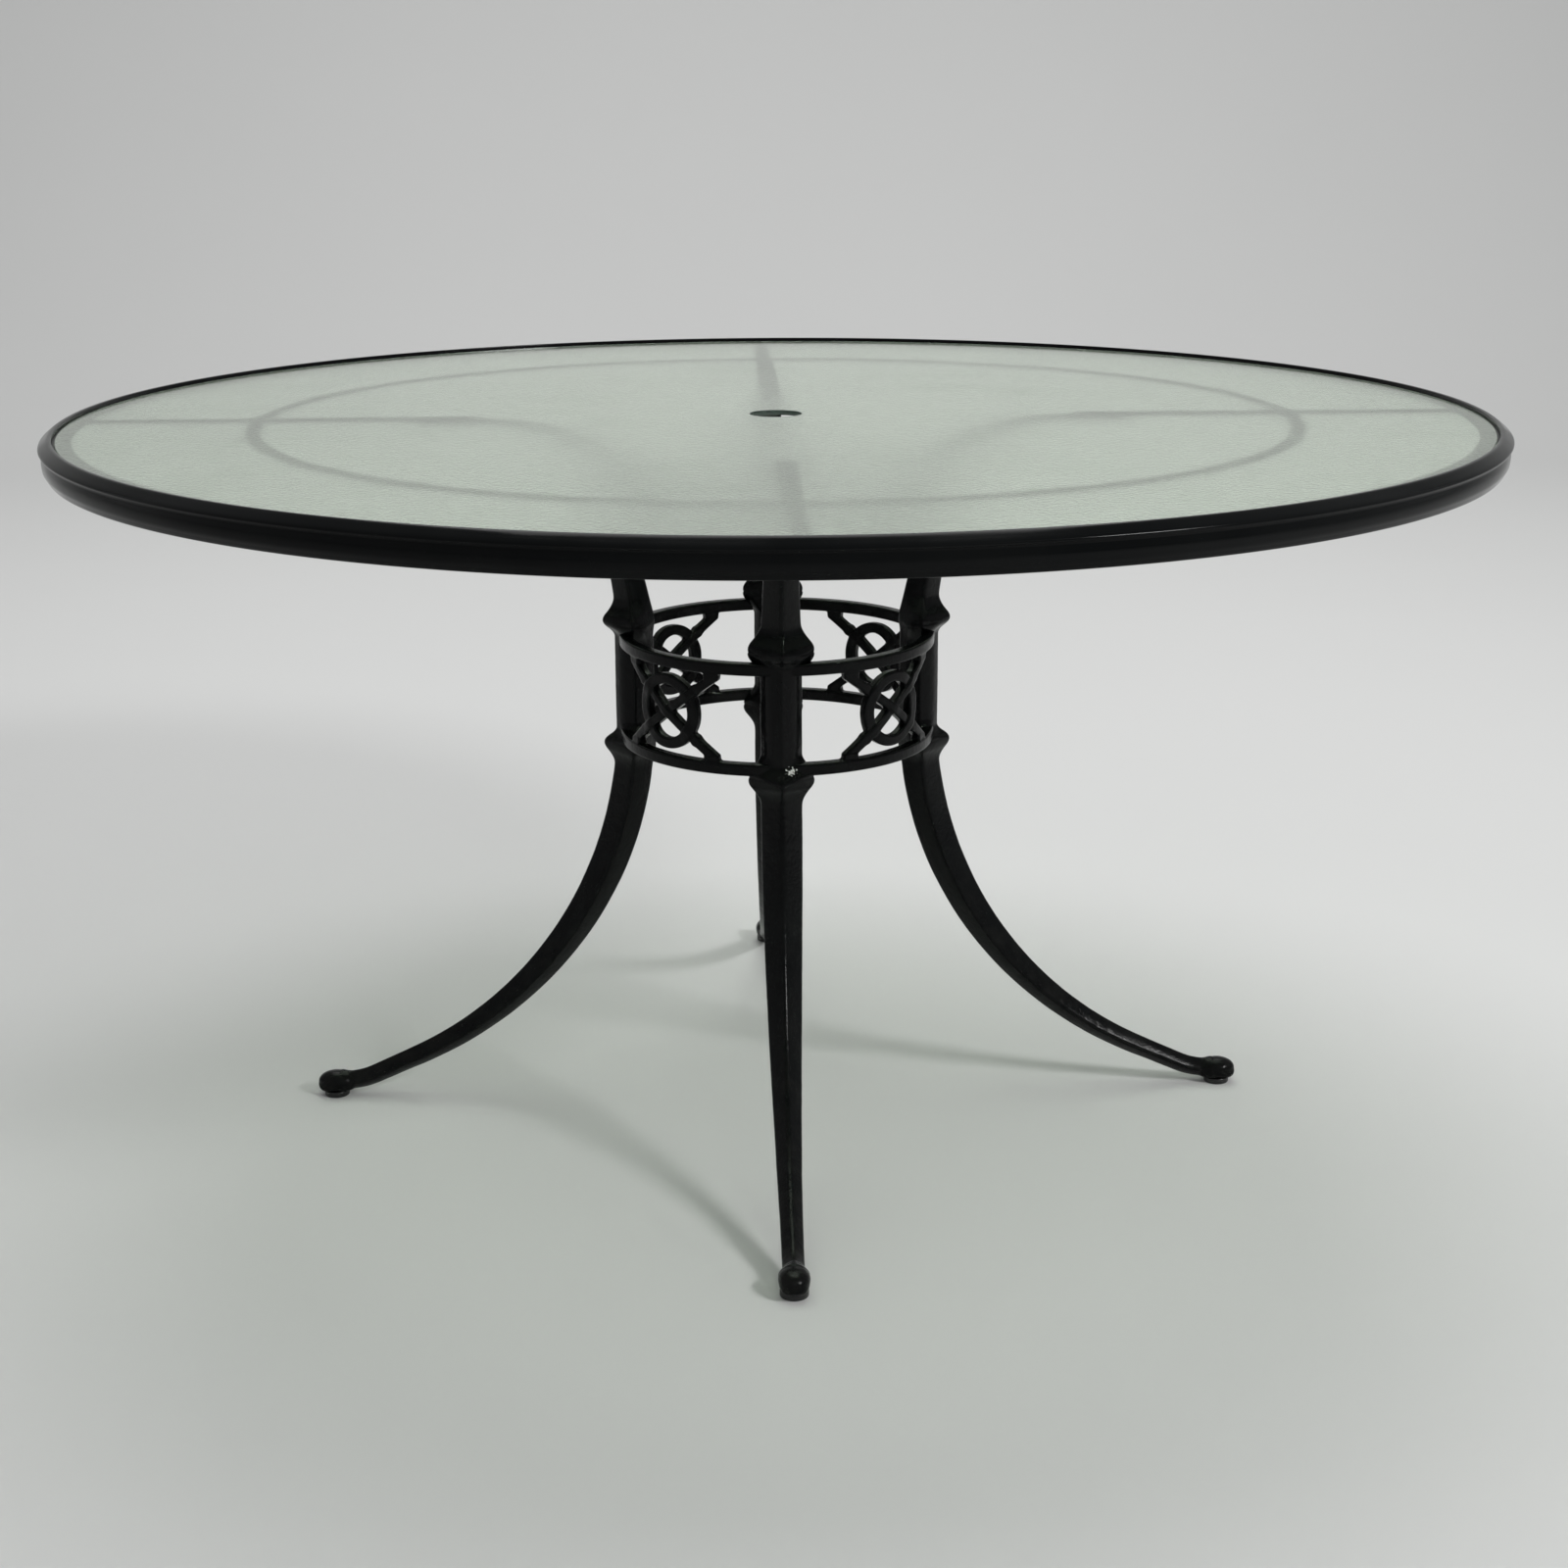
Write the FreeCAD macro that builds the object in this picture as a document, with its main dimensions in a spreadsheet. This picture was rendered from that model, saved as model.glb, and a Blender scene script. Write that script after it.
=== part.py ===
import FreeCAD, Part, Sketcher
import math
import os

# Round patio table with a glass top, a hole for an umbrella, and four cast legs joined by a pierced collar.
# Origin: on the floor under the umbrella hole. +Z is up, and the legs stand on +X, +Y, -X and -Y.

doc = FreeCAD.newDocument("UmbrellaTable")
sheet = doc.addObject("Spreadsheet::Sheet", "Sizes")
Vector = FreeCAD.Vector

driving_sizes = [
    ("table_height", 708.5, "floor to the top of the rim"),
    ("rim_radius", 690.0, "nose of the rim, the widest point"),
    ("rim_height", 32.0, "lip to underside of the rim extrusion"),
    ("rim_slope_run", 8.5, "nose to crease, across"),
    ("rim_slope_drop", 6.8, "crease to nose, down"),
    ("rim_lip_width", 4.0, "flat lip inside the crease"),
    ("rim_nose_height", 2.6, "upright face of the nose"),
    ("rim_nose_round", 1.2, "bevel at the top and foot of the nose"),
    ("rim_step", 3.0, "set-back of the lower band under the nose"),
    ("rim_belly", 0.9, "how far the lower band curves out at mid height"),
    ("rim_tuck", 3.5, "inward curve at the foot of the rim"),
    ("rim_tuck_height", 5.4, "inward curve at the foot of the rim, up"),
    ("rim_wall", 2.0, "wall of the rim extrusion"),
    ("ledge_width", 18.0, "ledge that the glass sits on"),
    ("glass_thickness", 5.0, "tempered sheet"),
    ("glass_edge_gap", 2.5, "glass edge to the rim's inner wall"),
    ("glass_below_lip", 3.5, "lip to glass surface"),
    ("glass_arris", 0.8, "polished bevel on the glass edges"),
    ("umbrella_hole_radius", 25.0, "hole in the middle of the glass"),
    ("cushion_thickness", 1.5, "vinyl strip under and round the glass edge"),
    ("cushion_width", 13.0, "vinyl strip, across the ledge"),
    ("cushion_upstand", 3.0, "vinyl strip, up the glass edge"),
    ("ring_radius", 498.0, "middle of the support ring"),
    ("ring_width", 14.0, "flat bar of the support ring, across"),
    ("ring_thickness", 5.0, "flat bar of the support ring, up"),
    ("bumper_radius", 6.0, "vinyl dot under the glass"),
    ("spoke_thickness", 8.0, "spoke, up"),
    ("spoke_inner_width", 22.0, "spoke, across, at the leg"),
    ("spoke_outer_width", 12.0, "spoke, across, at the rim"),
    ("spoke_bevel", 1.5, "bevel along the underside of the spoke"),
    ("leg_axis_radius", 142.0, "table axis to the upright stretch of the leg"),
    ("leg_depth", 38.2, "leg at the collar, in and out"),
    ("leg_width", 39.3, "leg at the collar, across"),
    ("leg_foot_depth", 19.5, "leg at the foot, up"),
    ("leg_foot_width", 20.0, "leg at the foot, across"),
    ("leg_ridge_flat", 3.2, "flat on each ridge of the casting"),
    ("leg_sweep_top", 401.0, "height at which the leg starts to sweep out to its foot"),
    ("foot_straight", 49.0, "straight stretch after the sweep"),
    ("foot_bend_radius", 80.0, "last bend, into the foot"),
    ("leg_taper", 470.0, "stretch over which the leg grows from its foot size to its full size"),
    ("flare_start", 496.0, "height at which the upper curve starts"),
    ("flare_high_radius", 115.0, "upper curve, last stretch"),
    ("flare_split_angle", 50.0, "upper curve, turn where its two stretches meet"),
    ("palm_thickness", 8.0, "flat end of the leg under the spoke"),
    ("palm_width", 20.0, "flat end of the leg, across"),
    ("palm_length", 54.0, "flat end of the leg, along the spoke"),
    ("palm_bevel", 1.0, "bevel along the flat end's edges"),
    ("knuckle_upper_height", 501.0, "bead over the collar"),
    ("knuckle_lower_height", 375.5, "bead under the collar"),
    ("knuckle_proud", 11.3, "bead, out from the leg"),
    ("knuckle_long_side", 17.5, "bead, hollow side away from the collar"),
    ("knuckle_short_side", 11.0, "bead, side towards the collar"),
    ("knuckle_hollow", 1.4, "how hollow the long side is, 1 being straight"),
    ("knuckle_crown", 5.5, "straight stretch at the bead's widest"),
    ("collar_radius", 157.0, "outer face of the collar"),
    ("collar_depth", 12.0, "collar casting, in and out"),
    ("collar_top", 490.3, "top of the upper rail"),
    ("collar_height", 108.2, "top of the upper rail to foot of the lower"),
    ("rail_height", 11.8, "rail, up"),
    ("motif_ring_radius", 36.2, "outside of the round band in the panel"),
    ("motif_band", 10.4, "round band, across"),
    ("strap_width", 9.2, "crossing straps, across"),
    ("strap_angle", 35.0, "crossing straps, from level"),
    ("knee_offset", 52.5, "panel centre to the short upright of each strap"),
    ("knee_width", 14.5, "short upright of each strap, across"),
    ("knee_drop", 0.6, "foot of the upright, below the strap's corner"),
    ("knob_length", 37.0, "flattened ball at the foot, in and out"),
    ("knob_width", 28.4, "flattened ball at the foot, across"),
    ("knob_height", 21.4, "flattened ball at the foot, before its underside is cut flat"),
    ("knob_flat_depth", 1.7, "how much the flat underside takes off"),
    ("leg_end_inset", 9.0, "middle of the knob to the end of the leg's bar"),
    ("foot_flat_radius", 32.0, "reach of the flat underside, from the glide's axis"),
    ("foot_radius", 461.0, "table axis to the glide"),
    ("pad_radius", 12.9, "glide pad"),
    ("pad_height", 6.0, "glide pad"),
    ("pad_bevel", 1.0, "bevel round the glide pad"),
    ("pad_floor", 2.0, "sole of the pad under the stud's flange"),
    ("pad_gap", 0.3, "pad to foot with the glide screwed right in"),
    ("stud_radius", 4.0, "glide stud"),
    ("stud_height", 21.5, "top of the stud, from the floor"),
    ("flange_radius", 7.0, "flange at the foot of the stud"),
    ("flange_height", 2.2, "flange at the foot of the stud"),
    ("socket_clearance", 0.1, "flange to socket, up and down"),
    ("swivel_clearance", 0.3, "flange and stud to pad, across"),
    ("thread_clearance", 0.05, "stud to insert, across"),
    ("insert_wall", 1.5, "threaded insert"),
    ("insert_length", 11.0, "threaded insert"),
    ("stud_well_clearance", 0.6, "stud to the casting above the insert"),
    ("stud_well_depth", 16.2, "depth of the drilling, from the foot's flat"),
    ("bolt_radius", 3.0, "bolt between leg and spoke"),
    ("bolt_clearance", 0.3, "bolt to the hole in the leg"),
    ("bolt_head_radius", 5.0, "bolt head"),
    ("bolt_head_height", 3.3, "bolt head"),
    ("bolt_socket_flats", 4.0, "hexagon in the bolt head"),
    ("bolt_end_gap", 1.0, "bolt end to the top of the spoke"),
    ("bolt_first", 20.0, "start of the flat end to the first bolt"),
    ("bolt_spacing", 22.0, "first bolt to second bolt"),
    ("washer_radius", 6.2, "washer"),
    ("washer_thickness", 1.2, "washer"),
    ("screw_radius", 2.0, "screw to ring and rim"),
    ("screw_head_radius", 3.8, "screw head"),
    ("screw_head_height", 2.4, "screw head"),
    ("screw_socket_flats", 2.5, "hexagon in the screw head"),
    ("screw_end_gap", 0.2, "screw end to the surface above it"),
    ("rim_screw_inset", 9.0, "rim screw to the rim's inner wall"),
    ("spoke_end_gap", 0.5, "end of the spoke to the rim's inner wall"),
    ("fit_gap", 0.05, "hole to screw, and notch to ring"),
]


class Dim:
    """A size as a number and as the expression that gives it from the spreadsheet."""

    def __init__(self, value, text):
        self.value = value
        self.text = text

    @staticmethod
    def of(thing):
        return thing if isinstance(thing, Dim) else Dim(float(thing), repr(float(thing)))

    def __add__(self, other):
        other = Dim.of(other)
        return Dim(self.value + other.value, "(%s + %s)" % (self.text, other.text))

    def __sub__(self, other):
        other = Dim.of(other)
        return Dim(self.value - other.value, "(%s - %s)" % (self.text, other.text))

    def __mul__(self, other):
        other = Dim.of(other)
        return Dim(self.value * other.value, "(%s * %s)" % (self.text, other.text))

    def __truediv__(self, other):
        other = Dim.of(other)
        return Dim(self.value / other.value, "(%s / %s)" % (self.text, other.text))

    def __neg__(self):
        return Dim(-self.value, "(-1 * %s)" % self.text)


size = {}
for row, (alias, number, meaning) in enumerate(driving_sizes, start=1):
    sheet.set("A%d" % row, meaning)
    sheet.set("B%d" % row, str(number))
    sheet.setAlias("B%d" % row, alias)
    size[alias] = Dim(number, "Sizes." + alias)
doc.recompute()

quarter_turns = (0, 90, 180, 270)
nodes = []


def cosine(angle):
    return Dim(math.cos(math.radians(angle.value)), "cos(%s * 1 deg)" % angle.text)


def sine(angle):
    return Dim(math.sin(math.radians(angle.value)), "sin(%s * 1 deg)" % angle.text)


def bind(thing, **properties):
    """Tie properties of a document object to the spreadsheet."""
    for name, dim in properties.items():
        thing.setExpression(name.replace("__", "."), Dim.of(dim).text)


def turned(angle):
    return FreeCAD.Placement(Vector(0, 0, 0), FreeCAD.Rotation(Vector(0, 0, 1), angle))


def keep(thing, label):
    """Name a finished sub-part."""
    thing.Label = label
    nodes.append(thing)
    return thing


def origin_plane(body, role):
    return next(feature for feature in body.Origin.OriginFeatures if feature.Role == role)


def new_body(label):
    body = doc.addObject("PartDesign::Body", label + "_body")
    return keep(body, label)


def new_sketch(body, name, role="XY_Plane"):
    sketch = body.newObject("Sketcher::SketchObject", name)
    sketch.AttachmentSupport = [(origin_plane(body, role), "")]
    sketch.MapMode = "FlatFace"
    return sketch


def pin_point(sketch, geometry, point, x, y):
    """Hold one point of a sketch at x, y from the sketch's origin."""
    axes = (("DistanceX", x, -2), ("DistanceY", y, -1))
    for kind, dim, axis in axes:
        if dim.value == 0:
            sketch.addConstraint(Sketcher.Constraint("PointOnObject", geometry, point, axis))
            continue
        ends = (-1, 1, geometry, point) if dim.value > 0 else (geometry, point, -1, 1)
        length = dim if dim.value > 0 else -dim
        index = sketch.addConstraint(Sketcher.Constraint(kind, *ends, length.value))
        sketch.setExpression("Constraints[%d]" % index, length.text)


def draw_outline(sketch, corners):
    """A closed outline of straight lines through corners, each an (x, y) pair of sizes."""
    corners = [(Dim.of(x), Dim.of(y)) for x, y in corners]
    first = sketch.GeometryCount
    spots = [Vector(x.value, y.value, 0) for x, y in corners]
    count = len(spots)
    for i in range(count):
        sketch.addGeometry(Part.LineSegment(spots[i], spots[(i + 1) % count]), False)
    for i in range(count):
        following = (i + 1) % count
        sketch.addConstraint(Sketcher.Constraint("Coincident", first + i, 2, first + following, 1))
    for i, (x, y) in enumerate(corners):
        pin_point(sketch, first + i, 1, x, y)


def draw_circle(sketch, x, y, radius):
    x, y = Dim.of(x), Dim.of(y)
    circle = sketch.addGeometry(Part.Circle(Vector(x.value, y.value, 0), Vector(0, 0, 1), radius.value), False)
    index = sketch.addConstraint(Sketcher.Constraint("Radius", circle, radius.value))
    sketch.setExpression("Constraints[%d]" % index, radius.text)
    pin_point(sketch, circle, 3, x, y)


def spin(body, name, corners):
    """Revolve an outline of (radius, height) corners about the body's upright axis."""
    sketch = new_sketch(body, name + "_profile", "XZ_Plane")
    draw_outline(sketch, corners)
    turn = body.newObject("PartDesign::Revolution", name)
    turn.Profile = sketch
    turn.ReferenceAxis = (sketch, ["V_Axis"])
    turn.Angle = 360
    sketch.Visibility = False
    return turn


def raise_outline(body, name, draw, height, start=None):
    """Pad what draw(sketch) draws on the body's XY plane, from height start up by height."""
    sketch = new_sketch(body, name + "_outline")
    if start is not None:
        sketch.setExpression("AttachmentOffset.Base.z", start.text)
    draw(sketch)
    pad = body.newObject("PartDesign::Pad", name)
    pad.Profile = sketch
    bind(pad, Length=height)
    return pad


def drill(body, name, draw, start, depth):
    """Pocket upwards from height start by depth; returns the feature."""
    sketch = new_sketch(body, name + "_outline")
    sketch.setExpression("AttachmentOffset.Base.z", start.text)
    draw(sketch)
    pocket = body.newObject("PartDesign::Pocket", name)
    pocket.Profile = sketch
    pocket.Reversed = True
    bind(pocket, Length=depth)
    return pocket


def repeat_round(body, feature, count):
    pattern = body.newObject("PartDesign::PolarPattern", feature.Name + "_round")
    pattern.Originals = [feature]
    pattern.Axis = (origin_plane(body, "Z_Axis"), [""])
    pattern.Angle = 360
    pattern.Occurrences = count
    body.Tip = pattern
    return pattern


def copies(label, master, places):
    """One node that holds several equal loose pieces."""
    group = doc.addObject("Part::Feature", label + "_group")
    doc.recompute()
    pieces = []
    for place in places:
        piece = master.Shape.copy()
        piece.Placement = place
        pieces.append(piece)
    group.Shape = Part.makeCompound(pieces)
    return keep(group, label)


# Heights and radii that several pieces share
glass_top_z = size["table_height"] - size["glass_below_lip"]
glass_foot_z = glass_top_z - size["glass_thickness"]
ledge_top_z = glass_foot_z - size["cushion_thickness"]
spoke_top_z = ledge_top_z - size["rim_wall"]
spoke_foot_z = spoke_top_z - size["spoke_thickness"]
palm_foot_z = spoke_foot_z - size["palm_thickness"]
rim_foot_z = size["table_height"] - size["rim_height"]
crease_radius = size["rim_radius"] - size["rim_slope_run"]
wall_radius = crease_radius - size["rim_lip_width"]
glass_radius = wall_radius - size["glass_edge_gap"]
rim_screw_radius = wall_radius - size["rim_screw_inset"]
ring_top_z = spoke_foot_z + size["ring_thickness"]
foot_flat_z = size["pad_height"] + size["pad_gap"]
knob_z = foot_flat_z + size["knob_height"] / 2 - size["knob_flat_depth"]


# Glass: one sheet with a bevelled edge and the umbrella hole
def make_glass():
    body = new_body("glass_top")
    edge = glass_radius
    hole = size["umbrella_hole_radius"]
    arris = size["glass_arris"]
    spin(body, "sheet_of_glass", [
        (hole, glass_foot_z),
        (edge - arris, glass_foot_z),
        (edge, glass_foot_z + arris),
        (edge, glass_top_z - arris),
        (edge - arris, glass_top_z),
        (hole, glass_top_z),
    ])


# Rim: a hollow extrusion rolled into a ring, with a ledge inside for the glass
def make_rim():
    body = new_body("rim_frame")
    top = size["table_height"]
    nose = size["rim_radius"]
    bevel = size["rim_nose_round"]
    wall = size["rim_wall"]
    nose_top = top - size["rim_slope_drop"]
    nose_foot = nose_top - size["rim_nose_height"]
    band = nose - size["rim_step"]
    middle_z = (nose_foot + rim_foot_z) / 2
    tuck = size["rim_tuck"]
    tuck_top = rim_foot_z + size["rim_tuck_height"]
    belly_foot = (middle_z * 2 + rim_foot_z) / 3
    ledge_radius = wall_radius - size["ledge_width"]
    profile = [
        (wall_radius, top),
        (crease_radius, top),
        (nose - bevel, nose_top),
        (nose, nose_top - bevel),
        (nose, nose_foot + bevel / 2),
        (nose - bevel / 2, nose_foot),
        (band, nose_foot - bevel),
        (band + size["rim_belly"] * 0.7, (nose_foot + middle_z) / 2),
        (band + size["rim_belly"], middle_z),
        (band + size["rim_belly"] * 0.5, belly_foot),
        (band - tuck * 0.3, tuck_top),
        (band - tuck, rim_foot_z),
        (wall_radius, rim_foot_z),
        (wall_radius, spoke_top_z),
        (ledge_radius, spoke_top_z),
        (ledge_radius, ledge_top_z),
        (wall_radius, ledge_top_z),
    ]
    spin(body, "rim_extrusion", profile)
    doc.recompute()
    chamber = new_sketch(body, "chamber_profile", "XZ_Plane")
    draw_outline(chamber, [
        (wall_radius + wall, rim_foot_z + wall),
        (band - tuck - wall * 0.7, rim_foot_z + wall),
        (band - wall - tuck * 0.3, tuck_top),
        (band - wall, belly_foot),
        (band - wall, nose_foot),
        (wall_radius + wall * 1.5, top - wall * 1.5),
        (wall_radius + wall, top - wall * 1.5),
    ])
    groove = body.newObject("PartDesign::Groove", "chamber")
    groove.Profile = chamber
    groove.ReferenceAxis = (chamber, ["V_Axis"])
    groove.Angle = 360
    hole = size["screw_radius"] + size["fit_gap"]

    def draw(sketch):
        draw_circle(sketch, rim_screw_radius, 0, hole)

    repeat_round(body, drill(body, "ledge_screw_hole", draw, spoke_top_z, wall), 4)


# Cushion: a soft strip with an L section between glass and ledge
def make_cushion():
    body = new_body("glass_cushion")
    outer = wall_radius - size["fit_gap"]
    inner = wall_radius - size["cushion_width"]
    lip = glass_radius + size["fit_gap"]
    spin(body, "strip", [
        (inner, ledge_top_z),
        (outer, ledge_top_z),
        (outer, glass_foot_z + size["cushion_upstand"]),
        (lip, glass_foot_z + size["cushion_upstand"]),
        (lip, glass_foot_z),
        (inner, glass_foot_z),
    ])


# Support ring: flat bar let into the underside of the spokes, with a screw hole at each spoke
def make_ring():
    body = new_body("support_ring")
    inner = size["ring_radius"] - size["ring_width"] / 2
    outer = size["ring_radius"] + size["ring_width"] / 2
    spin(body, "flat_bar", [
        (inner, spoke_foot_z),
        (outer, spoke_foot_z),
        (outer, ring_top_z),
        (inner, ring_top_z),
    ])
    hole = size["screw_radius"] + size["fit_gap"]

    def draw(sketch):
        draw_circle(sketch, size["ring_radius"], 0, hole)

    repeat_round(body, drill(body, "ring_screw_hole", draw, spoke_foot_z, size["ring_thickness"]), 4)


def disc(name, radius, height, x, z):
    """An upright Part::Cylinder bound to sizes, standing at x on height z."""
    cylinder = doc.addObject("Part::Cylinder", name)
    bind(cylinder, Radius=radius, Height=height, Placement__Base__x=x, Placement__Base__z=z)
    return cylinder


# Bumpers: soft dots on the ring, between the spokes, that the glass rests on
def make_bumpers():
    height = glass_foot_z - ring_top_z
    dot = disc("bumper_dot", size["bumper_radius"], height, size["ring_radius"], ring_top_z)
    doc.recompute()
    base = dot.Placement
    places = [turned(22.5 + 45 * k).multiply(base) for k in range(8)]
    copies("glass_bumpers", dot, places)


leg_marks = {}


def sweep_turn(drop, reach, straight, bend):
    """Turn of the sweep at which it, the straight and the last bend end just at the foot."""
    low, high = math.radians(20), math.radians(88)
    for step in range(60):
        turn = (low + high) / 2
        down = drop - bend * (1 - math.sin(turn)) - straight * math.cos(turn)
        out = reach - bend * math.cos(turn) - straight * math.sin(turn)
        if out * math.sin(turn) > down * (1 - math.cos(turn)):
            low = turn
        else:
            high = turn
    return turn, down / math.sin(turn)


def leg_path():
    """The leg's centre line from foot to flat end, as (name, length, place) for each stretch.

    place(gone) gives the radius, the height and the tilt from upright at a length gone from its start."""
    axis = size["leg_axis_radius"].value
    sweep_top = size["leg_sweep_top"].value
    straight = size["foot_straight"].value
    bend = size["foot_bend_radius"].value
    end_radius = (size["foot_radius"] - size["leg_end_inset"]).value
    turn, sweep = sweep_turn(sweep_top - knob_z.value, end_radius - axis, straight, bend)
    flare_start = size["flare_start"].value
    high = size["flare_high_radius"].value
    split = math.radians(size["flare_split_angle"].value)
    palm_z = (spoke_foot_z - size["palm_thickness"] / 2).value
    low = (palm_z - flare_start - high * (1 - math.sin(split))) / math.sin(split)
    bend_radius = end_radius - bend * math.cos(turn)
    bend_z = knob_z.value + bend * (1 - math.sin(turn))
    split_radius = axis + low * (1 - math.cos(split))
    split_z = flare_start + low * math.sin(split)
    palm_start = split_radius + high * math.cos(split)

    def on_bend(gone):
        angle = math.pi / 2 - gone / bend
        radius = end_radius - bend * math.cos(angle)
        return radius, knob_z.value + bend * (1 - math.sin(angle)), -angle

    def on_straight(gone):
        return bend_radius - gone * math.sin(turn), bend_z + gone * math.cos(turn), -turn

    def on_sweep(gone):
        angle = turn - gone / sweep
        return axis + sweep * (1 - math.cos(angle)), sweep_top - sweep * math.sin(angle), -angle

    def on_upright(gone):
        return axis, sweep_top + gone, 0.0

    def on_low_flare(gone):
        angle = gone / low
        return axis + low * (1 - math.cos(angle)), flare_start + low * math.sin(angle), angle

    def on_high_flare(gone):
        angle = split + gone / high
        radius = split_radius + high * (math.cos(split) - math.cos(angle))
        return radius, split_z + high * (math.sin(angle) - math.sin(split)), angle

    def on_palm(gone):
        return palm_start + gone, palm_z, math.pi / 2

    stretches = [
        ("bend", bend * (math.pi / 2 - turn), on_bend),
        ("straight", straight, on_straight),
        ("sweep", sweep * turn, on_sweep),
        ("upright", flare_start - sweep_top, on_upright),
        ("low_flare", low * split, on_low_flare),
        ("high_flare", high * (math.pi / 2 - split), on_high_flare),
        ("palm", size["palm_length"].value, on_palm),
    ]
    gone = 0.0
    for name, length, place in stretches:
        leg_marks[name] = gone
        gone += length
    leg_marks["end"] = gone
    leg_marks["palm_radius"] = palm_start
    leg_marks["sweep_radius"] = sweep
    return stretches


def knuckles():
    """Middle height of each bead, and the side on which it is long and hollow: 1 is above, -1 is below."""
    return ((size["knuckle_upper_height"].value, 1), (size["knuckle_lower_height"].value, -1))


def knuckle_swell(height, tilt):
    """How far the beads stand out from the leg at this height."""
    if abs(tilt) > math.radians(20):
        return 0.0
    swell = 0.0
    for middle, long_side in knuckles():
        away = (height - middle) * long_side
        run = size["knuckle_long_side" if away > 0 else "knuckle_short_side"].value
        left = 1 - max(0.0, abs(away) - size["knuckle_crown"].value / 2) / run
        if left > 0:
            power = size["knuckle_hollow"].value if away > 0 else 1.0
            swell = max(swell, size["knuckle_proud"].value * left ** power)
    return swell


def leg_section(gone, stretches):
    """Corners of the casting's rhombic section at a length from the foot."""
    for name, length, place in stretches:
        if gone <= leg_marks[name] + length + 1e-6:
            radius, height, tilt = place(gone - leg_marks[name])
            break
    share = min(1.0, gone / size["leg_taper"].value)
    full = share * share * (3 - 2 * share)
    flare_length = leg_marks["palm"] - leg_marks["low_flare"]
    to_palm = min(1.0, max(0.0, (gone - leg_marks["low_flare"]) / flare_length))
    ridge = size["leg_ridge_flat"].value / 2
    depth = (size["leg_depth"].value * full + size["leg_foot_depth"].value * (1 - full)) / 2
    width = (size["leg_width"].value * full + size["leg_foot_width"].value * (1 - full)) / 2
    depth += (size["palm_thickness"].value / 2 - depth) * to_palm
    width += (size["palm_width"].value / 2 - width) * to_palm
    swell = knuckle_swell(height, tilt)
    depth += swell
    width += swell
    flatten = max(0.0, to_palm * 2 - 1)
    bevel = size["palm_bevel"].value
    across = ridge + (width - bevel - ridge) * flatten
    upright = ridge + (depth - bevel - ridge) * flatten
    corners = [(-depth, -across), (-depth, across), (-upright, width), (upright, width),
               (depth, across), (depth, -across), (upright, -width), (-upright, -width)]
    out = Vector(math.cos(tilt), 0, -math.sin(tilt))
    centre = Vector(radius, 0, height)
    return [centre + out * d + Vector(0, w, 0) for d, w in corners]


def leg_stations(stretches):
    """Lengths from the foot at which the casting gets a section: even steps, and the ends of each bead."""
    counts = {"bend": 5, "straight": 2, "sweep": 20, "low_flare": 6, "high_flare": 9, "palm": 1}
    marks = set()
    for name, length, place in stretches:
        count = counts.get(name, 0)
        marks.update(leg_marks[name] + length * i / count for i in range(count))
    crown = size["knuckle_crown"].value / 2
    long_run = size["knuckle_long_side"].value
    short_end = -crown - size["knuckle_short_side"].value
    sweep = leg_marks["sweep_radius"]
    for middle, long_side in knuckles():
        for offset in (short_end, -crown, crown, crown + long_run * 0.3, crown + long_run * 0.6, crown + long_run):
            drop = size["leg_sweep_top"].value - middle - offset * long_side
            marks.add(leg_marks["upright"] - (sweep * math.asin(drop / sweep) if drop > 0 else drop))
    ordered = []
    for mark in sorted(marks):
        if not ordered or mark - ordered[-1] > 2.0:
            ordered.append(mark)
    return ordered + [leg_marks["end"]]


def leg_bar_shape():
    stretches = leg_path()
    wires = []
    for mark in leg_stations(stretches):
        corners = leg_section(mark, stretches)
        wires.append(Part.makePolygon(corners + [corners[0]]))
    return Part.makeLoft(wires, True, True)


# Leg: one casting from the knob at its foot to the flat end under the spoke
def make_legs():
    bar_shape = leg_bar_shape()
    bolt_hole = size["bolt_radius"] + size["bolt_clearance"]
    insert_hole = size["stud_radius"] + size["thread_clearance"] + size["insert_wall"]
    legs = []
    for number, angle in enumerate(quarter_turns, start=1):
        bar = doc.addObject("Part::Feature", "leg_bar_%d" % number)
        bar.Shape = bar_shape.copy()
        knob = doc.addObject("Part::Ellipsoid", "leg_knob_%d" % number)
        bind(knob, Radius1=size["knob_height"] / 2, Radius2=size["knob_length"] / 2, Radius3=size["knob_width"] / 2,
             Placement__Base__x=size["foot_radius"], Placement__Base__z=knob_z)
        casting = doc.addObject("Part::MultiFuse", "leg_casting_%d" % number)
        casting.Shapes = [bar, knob]
        flat = disc("foot_flat_%d" % number, size["foot_flat_radius"], foot_flat_z, size["foot_radius"], Dim.of(0))
        well = disc("stud_well_%d" % number, size["stud_radius"] + size["stud_well_clearance"],
                    size["stud_well_depth"], size["foot_radius"], foot_flat_z)
        seat = disc("insert_seat_%d" % number, insert_hole, size["insert_length"], size["foot_radius"], foot_flat_z)
        tools = [flat, well, seat]
        for k in range(2):
            at = size["bolt_first"] + size["bolt_spacing"] * k + leg_marks["palm_radius"]
            tools.append(disc("bolt_hole_%d_%d" % (number, k + 1), bolt_hole, size["palm_thickness"] + 2,
                              at, palm_foot_z - 1))
        cutter = doc.addObject("Part::MultiFuse", "leg_drill_%d" % number)
        cutter.Shapes = tools
        leg = doc.addObject("Part::Cut", "leg_cut_%d" % number)
        leg.Base = casting
        leg.Tool = cutter
        leg.Placement = turned(angle)
        legs.append(keep(leg, "leg_%d" % number))
    doc.recompute()
    return legs


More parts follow.
